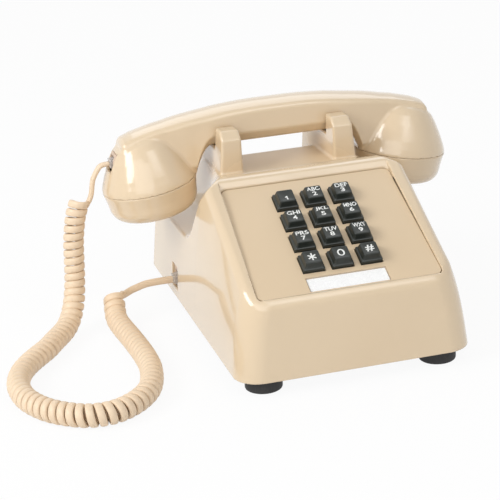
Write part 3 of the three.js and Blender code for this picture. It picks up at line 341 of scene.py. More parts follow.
# %% Metals and cord jacket
def metal_finish(name, light, dark, gloss, patch):
    finish = Finish(name, Metallic=1.0)
    cells = finish.noise(patch, 3, 0.6)
    finish.feed("Base Color", finish.blend(cells, light, dark))
    finish.feed("Roughness", gloss + 0.15 * finish.noise(patch * 2.5, 2))
    finish.bump(finish.noise(1300, 1, 0.5, (0.1, 1, 1)), 0.06, 0.0001)
    return finish.material


def jacket_finish():
    finish = Finish("cord_jacket", IOR=1.48)
    tint = finish.noise(22, 2)
    dust = finish.noise(500, 3)
    base = finish.blend(tint, colour(234, 212, 184), colour(226, 202, 172))
    finish.feed("Base Color", finish.blend(0.12 * dust, base, colour(205, 180, 152)))
    finish.feed("Roughness", 0.36 + 0.14 * dust)
    finish.bump(dust, 0.08, 0.0002)
    return finish.material


def wound_finish(name, light, dark, across):
    return grained(name, 1.5, (220, 1, 0.5, across), light, dark, (0.4, 0.2), bump=(0.3, 0.0003))


zinc_steel = metal_finish("zinc_steel", colour(196, 199, 202), colour(168, 171, 175), 0.28, 130)
gong_brass = metal_finish("gong_brass", colour(214, 186, 118), colour(196, 166, 98), 0.18, 90)
cord_jacket = jacket_finish()
coil_wrap = wound_finish("coil_wrap", colour(168, 92, 52), colour(120, 60, 34), (12, 1, 1))
board_brown = wound_finish("board_brown", colour(134, 98, 56), colour(110, 78, 42), (1, 6, 1))
print("metals:", zinc_steel.name, gong_brass.name, "cord:", cord_jacket.name)

# %% [markdown]
# ## The cord's line
# The curly cord leaves a clear plug on the handset, hangs down beside the housing, lies on the table in
# a wide loop and comes back up to the jack in the housing's side. A cord is one wire, so it is one
# piece: its middle line follows the route at both ends and is wound round it in between. The route is
# a short list of places, made smooth by a curve that passes through each of them.

# %% Cord route
handset_lead = [
    (-106.4, 40.7, 102.8), (-109.4, 40.7, 102.7), (-112.6, 40.7, 101.9), (-115.4, 40.7, 98.4),
    (-118.9, 40.6, 92.6), (-122.4, 40.5, 87.6), (-125.6, 40.4, 83.6), (-127.4, 40.4, 80.8),
]
coil_route = [
    (-127.7, 40.35, 80.3), (-130.6, 40.2, 72.6), (-132.4, 40, 64), (-133.7, 39.6, 55),
    (-134.4, 38.9, 45), (-135.2, 37.6, 34.6), (-136.6, 35, 25), (-138.8, 31, 17),
    (-142.2, 25.4, 10.6), (-146.4, 18.6, 7.4), (-151, 11.4, 6.6), (-157, 2, 6.6), (-163, -8, 6.6),
    (-170.4, -17.4, 6.6), (-177, -26.4, 6.6), (-183, -37, 6.6), (-187, -49, 6.6),
    (-188.4, -62, 6.6), (-186, -79, 6.6), (-177.2, -96.6, 6.6), (-163.4, -109.4, 6.6),
    (-151.6, -113.4, 6.6), (-139.6, -111.4, 6.6), (-126.6, -101.8, 6.6), (-117, -87, 6.6),
    (-111.4, -64, 6.6), (-110.4, -42, 6.6), (-111.8, -14, 6.6), (-113.4, 6, 6.6),
    (-114, 18, 6.8), (-113.9, 24, 8.4), (-113.2, 29.4, 12.4), (-112.4, 33.4, 16.4),
]
base_lead = [
    (-112.1, 34.95, 17.95), (-110.4, 36.9, 18.3), (-107, 38.6, 17.4), (-102, 39.8, 17.5),
    (-96, 40.4, 18.9), (-90, 40.9, 20.2), (-83, 41, 20.6), (-75, 41, 20.6), (-70.4, 41, 20.6),
]
print("places on the route:", len(handset_lead), len(coil_route), len(base_lead))

# %% Smooth line
def unit(rows):
    return rows / np.linalg.norm(rows, axis=1)[:, None]


def run_along(line):
    """How far along a line each of its places is."""
    return np.concatenate([[0], np.cumsum(np.linalg.norm(np.diff(np.array(line), axis=0), axis=1))])


def picked(values, run, at):
    return np.stack([np.interp(at, run, values[:, k]) for k in range(3)], axis=1)


def through(places, step):
    """Evenly spaced places on the smooth curve that passes through the given ones."""
    p = np.array(places, dtype=float)
    p = np.vstack([2 * p[0] - p[1], p, 2 * p[-1] - p[-2]])
    fine = []
    for i in range(1, len(p) - 2):
        a, b, c, d = p[i - 1 : i + 3]
        for t in np.linspace(0, 1, 40, endpoint=False):
            fine.append(
                0.5 * (2 * b + (c - a) * t + (2 * a - 5 * b + 4 * c - d) * t**2
                       + (3 * b - a - 3 * c + d) * t**3)
            )
    fine.append(p[-2])
    fine = np.array(fine)
    run = run_along(fine)
    return picked(fine, run, np.linspace(0, run[-1], int(round(run[-1] / step)) + 1))


def travelling_frames(line):
    """Two sideways directions at each place of a line, carried along it without twist."""
    along = unit(np.gradient(line, axis=0))
    side = np.cross(along[0], (0.0, 1.0, 0.3))
    side /= np.linalg.norm(side)
    sides = []
    for a in along:
        side = side - a * side.dot(a)
        side /= np.linalg.norm(side)
        sides.append(side.copy())
    return np.array(sides), np.cross(along, sides)


middle = through(handset_lead + coil_route + base_lead, 0.3)
print("route is", round(float(run_along(middle)[-1]), 1), "mm long")

# %% [markdown]
# ## Winding the wire
# The cord is a flat cable wound on edge to edge, so each turn shows as a band. Think of the coil's
# surface unrolled on a table: the wire comes in along the coil, turns through a small arc, runs on at
# the slope of the winding, and turns out again. Rolled up, that gives each place as an angle and a
# distance along the route. The coil is stretched thinner where it hangs and lies wider on the table.
# Past the winding the flat cable keeps its way round, and turns upright where the side jack holds it.
# A curve with a bevel could carry it; a mesh tube is made instead.

# %% Winding
COIL_R, PITCH = 6.3, 5.25  # the route lies this high; one turn of the winding
WIRE_WIDE, WIRE_THICK = 4.7, 2.9
TURN_IN_R = 3.6
PER_TURN, LEAD_STEP = 22, 1.5  # places in a turn, and how far apart they are on the leads
TWIST_PLACES, FADE = 14, 15.0  # the last lead's twist, and how slowly the coil's width dies away
RIGHT, UP = np.array((1.0, 0.0, 0.0)), np.array((0.0, 0.0, 1.0))


def coil_radius(height):
    """The outer radius: slim where the coil hangs, wider where it lies."""
    down = np.clip((36 - height) / 24, 0, 1)
    return COIL_R + 0.25 + 0.35 * down * down * (3 - 2 * down)


def wind(line, start, tail, pitch, per_turn):
    """The wire's middle line, the way across its flat side at each place, and the number of turns."""
    run = run_along(line)
    stop = run[-1] - tail
    side, other = travelling_frames(line)
    facing = []
    for at in (start, stop):
        here = [float(picked(v, run, [at])[0].dot(RIGHT)) for v in (side, other)]
        facing.append(math.atan2(here[1], here[0]))
    turn = 2 * math.pi
    swept = facing[1] - facing[0]
    swept += turn * round((stop - start) / pitch - swept / turn)
    mean_r = COIL_R - WIRE_THICK / 2
    slope = math.atan2(stop - start, swept * mean_r)
    t = np.linspace(0, math.pi / 2 - slope, 9)
    arc_run, arc_angle = TURN_IN_R * np.sin(t), TURN_IN_R * (1 - np.cos(t)) / mean_r
    wound_run = np.linspace(start + arc_run[-1], stop - arc_run[-1], int(swept / turn * per_turn))
    wound_angle = np.linspace(arc_angle[-1], swept - arc_angle[-1], len(wound_run))
    before = np.arange(0, start, LEAD_STEP)
    after = np.append(np.arange(stop + LEAD_STEP, run[-1], LEAD_STEP), run[-1])
    at = np.concatenate([before, start + arc_run, wound_run[1:-1], stop - arc_run[::-1], after])
    angle = facing[0] + np.concatenate(
        [0 * before, arc_angle, wound_angle[1:-1], swept - arc_angle[::-1], 0 * after + swept]
    )
    centre = picked(line, run, at)
    outer = coil_radius(centre[:, 2])
    near = 1 - np.clip(np.maximum(start - at, at - stop) / FADE, 0, 1)
    centre[:, 2] += (outer - COIL_R) * near
    around = np.cos(angle)[:, None] * picked(side, run, at) + np.sin(angle)[:, None] * picked(other, run, at)
    around = unit(around)
    near = near * near * (3 - 2 * near)
    wire = centre + ((outer - WIRE_THICK / 2) * near)[:, None] * around
    return wire, flat_ways(wire, around, (at >= start) & (at <= stop)), swept / turn


def flat_ways(wire, around, wound):
    """The way across the flat side: square to the coil's radius, carried on along both leads, and
    turned upright on the last one, as the jack holds it."""
    heading = unit(np.gradient(wire, axis=0))
    ways = np.cross(around, heading)
    first, last = np.flatnonzero(wound)[[0, -1]]
    for places, step in ((range(first - 1, -1, -1), 1), (range(last + 1, len(wire)), -1)):
        for i in places:
            ways[i] = ways[i + step]
    for i in range(last + 1, len(wire)):
        share = min(1.0, (i - last) / TWIST_PLACES)
        ways[i] = (1 - share) * ways[i] + share * UP
    return unit(ways - heading * (ways * heading).sum(axis=1)[:, None])


print("the coil's width, hanging and lying:", [round(2 * float(coil_radius(z)), 1) for z in (100, 6)])

# %% Cord
def ribbon(name, line, ways, wide, thick, sides):
    """A closed tube with a flat, round-edged section."""
    ups = np.cross(unit(np.gradient(line, axis=0)), ways)
    angles = np.linspace(0, 2 * math.pi, sides, endpoint=False)
    p, q = np.cos(angles), np.sin(angles)
    p, q = wide / 2 * np.sign(p) * np.abs(p) ** 0.66, thick / 2 * np.sign(q) * np.abs(q) ** 0.8
    ring = p[None, :, None] * ways[:, None] + q[None, :, None] * ups[:, None]
    return make_mesh(name, (line[:, None] + ring).reshape(-1, 3), ring_faces(len(line), sides))


lead, tail = run_along(handset_lead)[-1] - 3.0, run_along(base_lead)[-1] - 0.8
wire, wire_ways, turns = wind(middle, lead, tail, PITCH, PER_TURN)
cord = ribbon("curly_cord", wire, wire_ways, WIRE_WIDE, WIRE_THICK, 12)
cord.data.materials.append(cord_jacket)
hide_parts("cord_coil", "cord_lead_handset", "cord_lead_base")
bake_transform(cord)

# %% [markdown]
# ## Shapes as distances
# The housing and the handset are mouldings: every edge is rounded and every wall flows into the next.
# They could be subdivision surfaces, but openings, steps and a shell of even thickness make such a
# mesh hard to keep tidy. Here a solid is a function that gives, for any place, its distance to the
# surface, negative inside. Joining two solids is the smaller distance, cutting is the larger one, and
# a radius in that choice gives the rounded edge of a mould.

# %% Distance helpers
def both(a, b, r=0.0):
    """What lies in a and in b, with the edge between them rounded to a radius."""
    if r == 0:
        return np.maximum(a, b)
    return np.minimum(-r, np.maximum(a, b)) + np.hypot(np.maximum(a + r, 0), np.maximum(b + r, 0))


def either(a, b, r=0.0):
    """What lies in a or in b, with a fillet of a radius where they meet."""
    if r == 0:
        return np.minimum(a, b)
    return np.maximum(r, np.minimum(a, b)) - np.hypot(np.maximum(r - a, 0), np.maximum(r - b, 0))


def less(a, b, r=0.0):
    """What lies in a and outside b."""
    return both(a, -b, r)


def outline_distance(p, q, corners):
    """Distance in a plane to a closed outline, negative inside it."""
    near = np.full(p.shape, 1e9)
    inside = np.zeros(p.shape, dtype=bool)
    for (px, qx), (py, qy) in zip(corners, corners[1:] + corners[:1]):
        ex, ey = py - px, qy - qx
        wx, wy = p - px, q - qx
        t = np.clip((wx * ex + wy * ey) / (ex * ex + ey * ey), 0, 1)
        near = np.minimum(near, (wx - t * ex) ** 2 + (wy - t * ey) ** 2)
        crosses = (qx > q) != (qy > q)
        if ey != 0:
            inside ^= crosses & (p < px + ex * (q - qx) / ey)
    return np.sqrt(near) * np.where(inside, -1, 1)


def block_distance(x, y, z, low, high):
    """Distance to a box given by its lowest and highest corners."""
    d = [np.maximum(a - v, v - b) for v, a, b in zip((x, y, z), low, high)]
    return np.maximum(np.maximum(d[0], d[1]), d[2])


print("distance helpers ready")

# %% [markdown]
# ## A mesh from a distance
# The space round the solid is cut into small cells. Each cell that the surface passes through gets one
# corner, placed between the crossings on its edges, and each crossed edge gets one quad between the
# four cells round it. Then every corner is slid along the distance's slope until it lies exactly on
# the surface. Cells far from the surface are skipped by first asking a coarse grid.

# %% Sliding onto the surface
def slope_of(field, p, h=0.15):
    out = np.empty(p.shape)
    for k in range(3):
        step = np.zeros(3)
        step[k] = h
        out[:, k] = field(*(p + step).T) - field(*(p - step).T)
    return out / (2 * h)


def settle(field, p, steps, most):
    for _ in range(steps):
        g = slope_of(field, p)
        d = field(*p.T)
        size = np.maximum((g * g).sum(axis=1), 0.05)
        move = np.clip(d / size, -most, most)
        p = p - move[:, None] * g
    return p


def ball(x, y, z):
    return np.sqrt(x * x + y * y + z * z) - 5.0


print("slid onto a ball of 5 mm:", settle(ball, np.array([[3.0, 3.0, 3.0]]), 3, 1.0).round(3))

# %% Grid of distances
BLOCK, BATCH = 4, 20000  # cells along a block's edge, and blocks worked out at a time


def lattice(axes):
    return np.stack(np.meshgrid(*axes, indexing="ij"), axis=-1)


def sampled(field, low, high, step):
    """Distances on a grid, worked out only in blocks of cells that may hold the surface."""
    blocks = [int(math.ceil((b - a) / (BLOCK * step))) + 1 for a, b in zip(low, high)]
    middles = [a + BLOCK * step * (np.arange(n) + 0.375) for a, n in zip(low, blocks)]
    grid = lattice(middles)
    coarse = field(*grid.reshape(-1, 3).T).reshape(grid.shape[:3])
    values = np.empty((blocks[0], BLOCK, blocks[1], BLOCK, blocks[2], BLOCK))
    values[:] = coarse[:, None, :, None, :, None]
    near = np.argwhere(np.abs(coarse) < 1.3 * BLOCK * step)
    inner = lattice([np.arange(BLOCK)] * 3).reshape(-1, 3)
    for start in range(0, len(near), BATCH):
        some = near[start : start + BATCH]
        at = (some[:, None] * BLOCK + inner[None]).reshape(-1, 3)
        p = np.array(low) + at * step
        d = field(*p.T).reshape(len(some), BLOCK, BLOCK, BLOCK)
        values[some[:, 0], :, some[:, 1], :, some[:, 2], :] = d
    return values.reshape([BLOCK * n for n in blocks])


print("grid round the ball:", sampled(ball, (-6, -6, -6), (6, 6, 6), 1.0).shape)

# %% Surface from distances
def surface(field, low, high, step):
    values = sampled(field, low, high, step)
    cells = np.array(values.shape) - 1
    total = int(cells.prod())
    sums = np.zeros((total, 3))
    counts = np.zeros(total)
    quads = []
    for axis in range(3):
        first = np.moveaxis(values, axis, 0)[:-1]
        second = np.moveaxis(values, axis, 0)[1:]
        crossed = np.argwhere((first < 0) != (second < 0))
        f0 = first[tuple(crossed.T)]
        f1 = second[tuple(crossed.T)]
        at = np.empty(crossed.shape, dtype=int)
        order = [axis] + [k for k in range(3) if k != axis]
        at[:, order] = crossed
        u, v = (axis + 1) % 3, (axis + 2) % 3
        inner = (at[:, u] > 0) & (at[:, v] > 0) & (at[:, u] < cells[u]) & (at[:, v] < cells[v])
        at, f0, f1 = at[inner], f0[inner], f1[inner]
        cross = at.astype(float)
        cross[:, axis] += f0 / (f0 - f1)
        ids = []
        for du, dv in ((1, 1), (0, 1), (0, 0), (1, 0)):
            cell = at.copy()
            cell[:, u] -= du
            cell[:, v] -= dv
            flat = (cell[:, 0] * cells[1] + cell[:, 1]) * cells[2] + cell[:, 2]
            ids.append(flat)
            for k in range(3):
                sums[:, k] += np.bincount(flat, cross[:, k], total)
            counts += np.bincount(flat, minlength=total)
        quad = np.stack(ids, axis=1)
        outward = f0 < 0
        quads.append(np.where(outward[:, None], quad, quad[:, ::-1]))
    used = counts > 0
    number = np.cumsum(used) - 1
    points = np.array(low) + step * sums[used] / counts[used][:, None]
    faces = number[np.concatenate(quads)]
    return settle(field, points, 3, step), faces


print("corners and faces of the ball:", [len(part) for part in surface(ball, (-6, -6, -6), (6, 6, 6), 1.0)])

# %% Moulding
def moulding(name, field, low, high, step, keep):
    """A mesh of a solid, thinned where it is flat, with the true surface's normals."""
    points, faces = surface(field, low, high, step)
    piece = make_mesh(name, points, faces)
    thin = piece.modifiers.new("thin", "DECIMATE")
    thin.ratio = min(1.0, keep / (2 * len(faces)))
    mesh = evaluated_mesh(piece)
    points = settle(field, mesh_points(mesh), 2, 0.3 * step)
    mesh.vertices.foreach_set("co", (points * MM).ravel())
    normals = slope_of(field, points, 0.25)
    normals /= np.maximum(np.linalg.norm(normals, axis=1), 1e-9)[:, None]
    mesh.polygons.foreach_set("use_smooth", np.ones(len(mesh.polygons), dtype=bool))
    mesh.normals_split_custom_set_from_vertices(normals.tolist())
    mesh.update()
    print(name, "grid faces", len(faces), "kept", len(mesh.polygons))
    return piece


print("moulding helper ready")

# %% [markdown]
# ## The housing's outside
# The body is a rounded rectangle in plan whose walls all draw in as they rise, as a moulding must to
# leave its mould: the front leans back, the back leans forward and the sides curve in. To keep the
# distance simple, a place is moved back to where it would be in an upright body. The roof is the
# sloping face, with a level crest behind it.

# %% Housing body
FRONT_LEAN, BACK_LEAN, SIDE_DRAW = 0.096, 0.25, 9.7
BASE_Z, HALF, DEPTH = 8.9, 71.4, 228.0
FRONT_CORNER, BACK_CORNER = 16.0, 12.0
CREST_Y, CREST_Z = -18.0, 101.0
RISE = (101.0 - 54.8) / 91.5
SHOULDER_Z = 57.3


def body_distance(x, y, z):
    up = z - BASE_Z
    spread = FRONT_LEAN + BACK_LEAN
    y0 = (y - up * (FRONT_LEAN - spread / 2)) / (1 - spread * up / DEPTH)
    lean = FRONT_LEAN - spread * (y0 + DEPTH / 2) / DEPTH
    top = (CREST_Z + RISE * (y0 - CREST_Y - lean * BASE_Z)) / (1 - RISE * lean)
    share = np.clip(up / (np.minimum(top, CREST_Z) - BASE_Z), -0.1, 1.15)
    draw = SIDE_DRAW * (0.5 * share + 0.5 * share**3)
    x0 = np.abs(x) / (1 - draw / HALF)
    corner = np.where(y0 < 0, FRONT_CORNER, BACK_CORNER)
    qx = x0 - (HALF - corner)
    qy = np.abs(y0) - (DEPTH / 2 - corner)
    plan = np.hypot(np.maximum(qx, 0), np.maximum(qy, 0)) + np.minimum(np.maximum(qx, qy), 0) - corner
    tilt = math.cos(math.atan(RISE))
    roof = both((z - CREST_Z - RISE * (y - CREST_Y)) * tilt, z - CREST_Z, 1.5)
    return both(plan * 0.96, roof, 4.0)


print("body at its front edge:", round(float(body_distance(*np.array([[0.0], [-114.0], [9.0]]))[0]), 3))

# %% [markdown]
# ## The cradle
# Behind the crest a sloping deck runs back between the two saddles and then falls away. Outside them
# the body is scooped out down to low shoulders, to leave room for the cups. The scoop is a hollow of
# large radius that starts along the saddle's flank and runs out through the side wall. The saddles
# stand on the deck: each has a front and a rear ear and a level channel for the handle.

# %% Cradle
SADDLE_IN, OUT_LOW, OUT_TOP, EAR_Z = 29.4, 46.7, 41.5, 122.8
SADDLE_FRONT, SADDLE_REAR, SCOOP_R = 9.8, 71, 75.0
CHANNEL_Y, CHANNEL_HALF, CHANNEL_Z = 40.7, 14.8, 108.0
trough_cut = [
    (-10, 170), (-10, 100.8), (-8, 99.6), (SADDLE_FRONT, 94.8), (48, 94), (54, 92.6), (60, 89), (65, 84.8),
    (70, 79.8), (75, 74.2), (80, 67.8), (87.4, SHOULDER_Z), (140, SHOULDER_Z), (140, 170),
]


def saddle_outline(m):
    """The saddle seen from the side, drawn in by a margin that its rounding gives back."""
    def rear(z):
        return SADDLE_REAR - BACK_LEAN * (z - EAR_Z)

    edge, brow, crown = EAR_Z - 7.2, EAR_Z - 4 - m, EAR_Z - 1.8 - m
    front, back, floor = CHANNEL_Y - CHANNEL_HALF - m, CHANNEL_Y + CHANNEL_HALF + m, CHANNEL_Z - m
    return [
        (-22 + m, 40), (rear(40) - m, 40), (rear(edge) - m, edge), (rear(edge) - 2 - m, brow),
        (rear(edge) - 6, crown), (back, crown), (back, floor), (front, floor), (front, crown),
        (SADDLE_FRONT + 6, crown), (SADDLE_FRONT + 2 + m, brow), (SADDLE_FRONT + m, edge),
        (SADDLE_FRONT + m, 93 - m), (-8.4, 97 - m), (-22 + m, 97 - m),
    ]


def outside(x, y, z):
    body = body_distance(x, y, z)
    across = np.abs(x)
    outer = OUT_LOW + (OUT_TOP - OUT_LOW) * (z - SHOULDER_Z) / (EAR_Z - SHOULDER_Z)
    centre_y = np.interp(z, (57, 66, 78, 88, 96, 101), (62, 53, 45, 38, 28, 22))
    ahead = np.hypot(across - outer - SCOOP_R, y - centre_y) - SCOOP_R
    scoop = both(np.where(y < centre_y, ahead, outer - across), SHOULDER_Z - z, 5.0)
    body = less(body, np.minimum(outline_distance(y, z, trough_cut), scoop), 1.6)
    flank = np.maximum(SADDLE_IN - across, (across - outer) * 0.997)
    profile = outline_distance(y, z, saddle_outline(1.3)) - 1.3
    return either(body, both(profile, flank, 1.5), 1.8)


print("saddle outline has", len(saddle_outline(1.3)), "corners")

# %% [markdown]
# ## Shell, face and openings
# The moulding is a shell 2.6 mm thick, open underneath. The sloping face is a pocket for the face
# plate: a floor that the plate rests on and a well through it for the keys. Behind the plate the rim
# leans back to its crest. The saddles have a hole each for a plunger, wider inside where its collar
# moves, and the walls one for each jack.

# %% Places on the face
FACE_Y, FACE_Z, SLOPE = -61.5, 76.7, math.radians(25.5)
FACE_NARROWS = 0.00052  # per millimetre up the face


def face_place(x, y, z):
    """Across the face, up its slope, and out of it."""
    up = (y - FACE_Y) * math.cos(SLOPE) + (z - FACE_Z) * math.sin(SLOPE)
    out = (z - FACE_Z) * math.cos(SLOPE) - (y - FACE_Y) * math.sin(SLOPE)
    return x / (1 - FACE_NARROWS * up), up, out


def from_face(u, v, n):
    y = FACE_Y + v * math.cos(SLOPE) - n * math.sin(SLOPE)
    z = FACE_Z + v * math.sin(SLOPE) + n * math.cos(SLOPE)
    return np.stack([u, y, z], axis=-1)


print("middle of the face:", from_face(0, 0, 0).round(1))

# %% Housing shell
WALL = 2.6
PLATE_HALF, PLATE_LOW, PLATE_HIGH, PLATE_GAP = 54.05, -48.6, 44.0, 0.22
PLUNGER_HOLE_R, COLLAR_GAP = 3.6, 0.3


def node_box(name, grow=0.0):
    low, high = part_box(name)
    return np.array(low) / MM - grow, np.array(high) / MM + grow


plungers = [node_box(n) for n in ("plunger_left", "plunger_right")]
side_low, side_high = node_box("cord_jack", 0.3)
rear_low, rear_high = node_box("line_jack", 0.3)
rim_slant = [(38, -0.4), (44.4, 0.4), (58.2, 9.4), (58.2, 30), (38, 30)]


def housing_distance(x, y, z):
    u, v, n = face_place(x, y, z)
    beside = np.abs(u) - PLATE_HALF - PLATE_GAP
    slant = np.maximum(beside, outline_distance(v, n, rim_slant))
    outer = less(outside(x, y, z), slant, 0.9)
    shell = less(outer, outer + WALL)
    flat = both(beside, np.maximum(v - PLATE_HIGH - 0.4, PLATE_LOW - 0.1 - v), 3.5)
    ledge = np.maximum(flat - 2.6, np.maximum(n + 2.5, -5.5 - n))
    shell = np.minimum(shell, np.maximum(ledge, outer))
    pocket, well = np.maximum(flat, -2.4 - n), np.maximum(flat + 5, -9 - n)
    shell = less(less(shell, pocket, 0.5), well, 0.3)
    for low, high in plungers:
        px, py, collar_r = *(low + high)[:2] / 2, (high[0] - low[0]) / 2
        away = np.hypot(x - px, y - py)
        shell = less(shell, np.maximum(away - PLUNGER_HOLE_R, 96 - z), 0.4)
        shell = less(shell, np.maximum(away - collar_r - COLLAR_GAP, np.maximum(60 - z, z - high[2] + 2.4)))
    side = block_distance(x, y, z, (-90, side_low[1], side_low[2]), (-60, *side_high[1:]))
    back = block_distance(x, y, z, (rear_low[0], 98, rear_low[2]), (rear_high[0], 130, rear_high[2]))
    shell = less(less(shell, side, 0.4), back, 0.4)
    return both(shell, BASE_Z - z, 0.5)


GRID = 1.05
housing = moulding("housing_moulding", housing_distance, (-75, -118, 5), (75, 118, 127), GRID, 150000)
attach(housing, housing_gloss, "base", "beige_gloss", "housing")

# %% [markdown]
# ## The handset
# The handle is a bar whose upper line sinks towards its ends and whose underside drops into the cups.
# Across it is broadest at the moulding's seam, low down, and rises from there to a broad, nearly flat
# top. Each cup is a dome turned about an axis that leans outward. Both are joined with a fillet and
# made hollow.

# %% Handset outside
CUP_X, CUP_Z, CUP_TILT = 82.5, 87.8, math.radians(8.6)
GRIP_X, GRIP_Z = 42.4, 108.3  # where the level underside ends, and its height
SEAM_UP, SEAM_HALF = 6.6, 13.9  # the seam over the underside, and half the handle's width there
crown_x = (0, 10, 18, 26, 34, 40, 46, 53, 60, 66, 72, 79, 85, 92, 98, 103, 110)
crown_z = (132.1, 132.1, 131.9, 131.5, 130.9, 130.2, 129.4, 128.5, 127.5, 126.4, 125.1, 123.8, 122.3,
           120.4, 118.0, 115.0, 110)
dome_r = [30, 29.8, 29.4, 28.7, 27.8, 26.6, 25, 23.4, 21.8, 19.9, 17.8, 15.4, 12.8, 9.9, 6.8, 3.4, 0]
dome_h = [-0.2, 1.5, 3, 5, 7, 9.8, 13, 16, 19, 22, 25, 27.6, 29.6, 31.4, 32.8, 33.7, 34]
dome_outline = [(-0.1, -4), (30, -4)] + list(zip(dome_r, dome_h)) + [(-0.1, 34)]


def cup_place(x, y, z, side):
    """Two distances across a cup's axis, and the height along it from the cap's seam."""
    dx, dz = x - side * CUP_X, z - CUP_Z
    along = side * dx * math.sin(CUP_TILT) + dz * math.cos(CUP_TILT)
    across = side * dx * math.cos(CUP_TILT) - dz * math.sin(CUP_TILT)
    return across, y - CHANNEL_Y, along


def handle_distance(x, y, z):
    far = np.abs(x)
    top = np.interp(far, crown_x, crown_z)
    away = np.maximum(0, far - GRIP_X)
    low = np.maximum(CUP_Z + 3, GRIP_Z - 0.13 * away * away)
    broad = np.interp(far, (0, 46, 60, 72, 85, 100), (1, 1, 0.96, 0.88, 0.84, 0.82))
    side = np.abs(y - CHANNEL_Y)
    seam = low + SEAM_UP
    under = (side - broad * (9 + 4.9 * (z - low) / SEAM_UP)) * 0.8
    over = (side - broad * (SEAM_HALF - 0.8 * (z - seam) / (top - 3 - seam))) * 0.99
    lid = (z - top + 0.017 * side * side) / np.sqrt(1 + (0.034 * side) ** 2)
    bar = both(both(over, lid, 2.2), both(under, low - z, 2.0), 0.6)
    return both(bar, far - 100, 3)


def handset_outside(x, y, z):
    p, q, h = cup_place(x, y, z, np.where(x > 0, 1.0, -1.0))
    top = np.interp(np.abs(x), crown_x, crown_z)
    dome = both(outline_distance(np.hypot(p, q), h, dome_outline), z - top + 4.6, 2.0)
    return either(handle_distance(x, y, z), dome, 1.6)


print("handset outline has", len(crown_x), "places along the top and", len(dome_r), "up each cup")

# %% Handset shell
JACK_TRIM = (1.2, 2.6)
jack_low, jack_high = node_box("handset_jack", 0.3)
jack_low[2] += JACK_TRIM[0]
jack_high[2] -= JACK_TRIM[1]


def handset_distance(x, y, z):
    p, q, h = cup_place(x, y, z, np.where(x > 0, 1.0, -1.0))
    outer = handset_outside(x, y, z)
    shell = less(outer, outer + WALL)
    jack = block_distance(x, y, z, (-125, jack_low[1], jack_low[2]), (-84, jack_high[1], jack_high[2]))
    shell = less(shell, jack, 0.4)
    return both(shell, np.where(np.hypot(p, q) < 40, -h, -99), 0.3)


HANDSET_GRID = 0.85
handset = moulding(
    "handset_moulding", handset_distance, (-117, 6, 80), (117, 76, 136), HANDSET_GRID, 110000
)
attach(handset, beige_gloss, "handset", "beige_gloss", "handset_shell")

# %% [markdown]
# ## The screw-on caps
# Each cap is turned like a jar lid: a dished face with a few small holes for the voice, a rounded rim
# and a skirt that meets the cup in a fine dark line. The same distance tools give its rounded edges.

# %% Caps
HOLE_R = 1.3


def cap_field(side, holes):
    profile = [
        (-0.1, -16.9), (8, -17.2), (14, -17.7), (20, -18.3), (22.4, -18.4), (24, -18.1), (25.4, -17.2),
        (26.6, -15.7), (27.6, -13.6), (28.1, -11.4), (28.5, -8), (29.3, -3.6), (29.8, -1.2), (29.9, -0.4),
        (29.6, -0.12), (26.8, -0.12), (26.8, 6.8), (24.4, 6.8), (24.4, -4), (24.9, -12), (23.8, -15),
        (20, -15.6), (-0.1, -14.6),
    ]

    def distance(x, y, z):
        p, q, h = cup_place(x, y, z, side)
        cap = outline_distance(np.hypot(p, q), h, profile) - 0.05
        for reach, count in holes:
            for i in range(count):
                a = 2 * math.pi * i / count
                near = np.hypot(p - reach * math.cos(a), q - reach * math.sin(a))
                cap = less(cap, np.maximum(near - HOLE_R, h + 10), 0.3)
        return cap

    return distance


def make_cap(name, node, side, holes):
    low, high = node_box(node, 2)
    cap = moulding(name, cap_field(side, holes), low, high, 0.75, 60000)
    return attach(cap, beige_gloss, "handset", "beige_gloss", node)


# the rings of holes: how far out, and how many
make_cap("mouth_cap", "transmitter_cap", -1, [(0, 1), (6, 6), (12, 8)])
make_cap("ear_cap", "receiver_cap", 1, [(0, 1), (5, 6)])

# %% [markdown]
# ## The keys
# A key is a black block in two steps: a broad flange just above the plate and a raised top, dished for
# a fingertip. It is lofted from rounded squares, one above the other, and closed by rings that sink
# towards the middle. Its place comes from the frame's own key, measured along the sloping face.

# %% Key shape
def rounded_square(half, radius, sides=6):
    ring = []
    for corner in range(4):
        a0 = corner * math.pi / 2
        cx = (half - radius) * (1 if corner in (0, 3) else -1)
        cy = (half - radius) * (1 if corner in (0, 1) else -1)
        for i in range(sides + 1):
            a = a0 + math.pi / 2 * i / sides
            ring.append((cx + radius * math.cos(a), cy + radius * math.sin(a)))
    return np.array(ring)


# half the width, the corners' radius, and the height over the face plate
key_rings = [
    (2.5, 0.3, -14), (2.5, 0.3, -5), (6.3, 0.5, -5), (6.5, 0.6, -4.7), (6.5, 0.7, 1.7), (6.42, 0.8, 2.0),
    (6.2, 0.8, 2.2), (5.85, 0.8, 2.24), (5.7, 0.8, 2.4), (5.3, 0.85, 3.9), (5.0, 0.9, 5.3),
    (4.9, 0.95, 5.85), (4.74, 0.95, 6.1), (4.5, 0.95, 6.2), (4.15, 1.1, 6.16), (3.4, 1.3, 6.0),
    (2.4, 1.3, 5.85), (1.2, 0.8, 5.74),
]
dish_line = [(0, 5.72)] + [(half, n) for half, _, n in reversed(key_rings[-5:])]
SHARP_ANGLE = math.radians(50)


def dish(u, v):
    """Height of the key's top at a place on it."""
    return np.interp(np.maximum(np.abs(u), np.abs(v)), *zip(*dish_line))


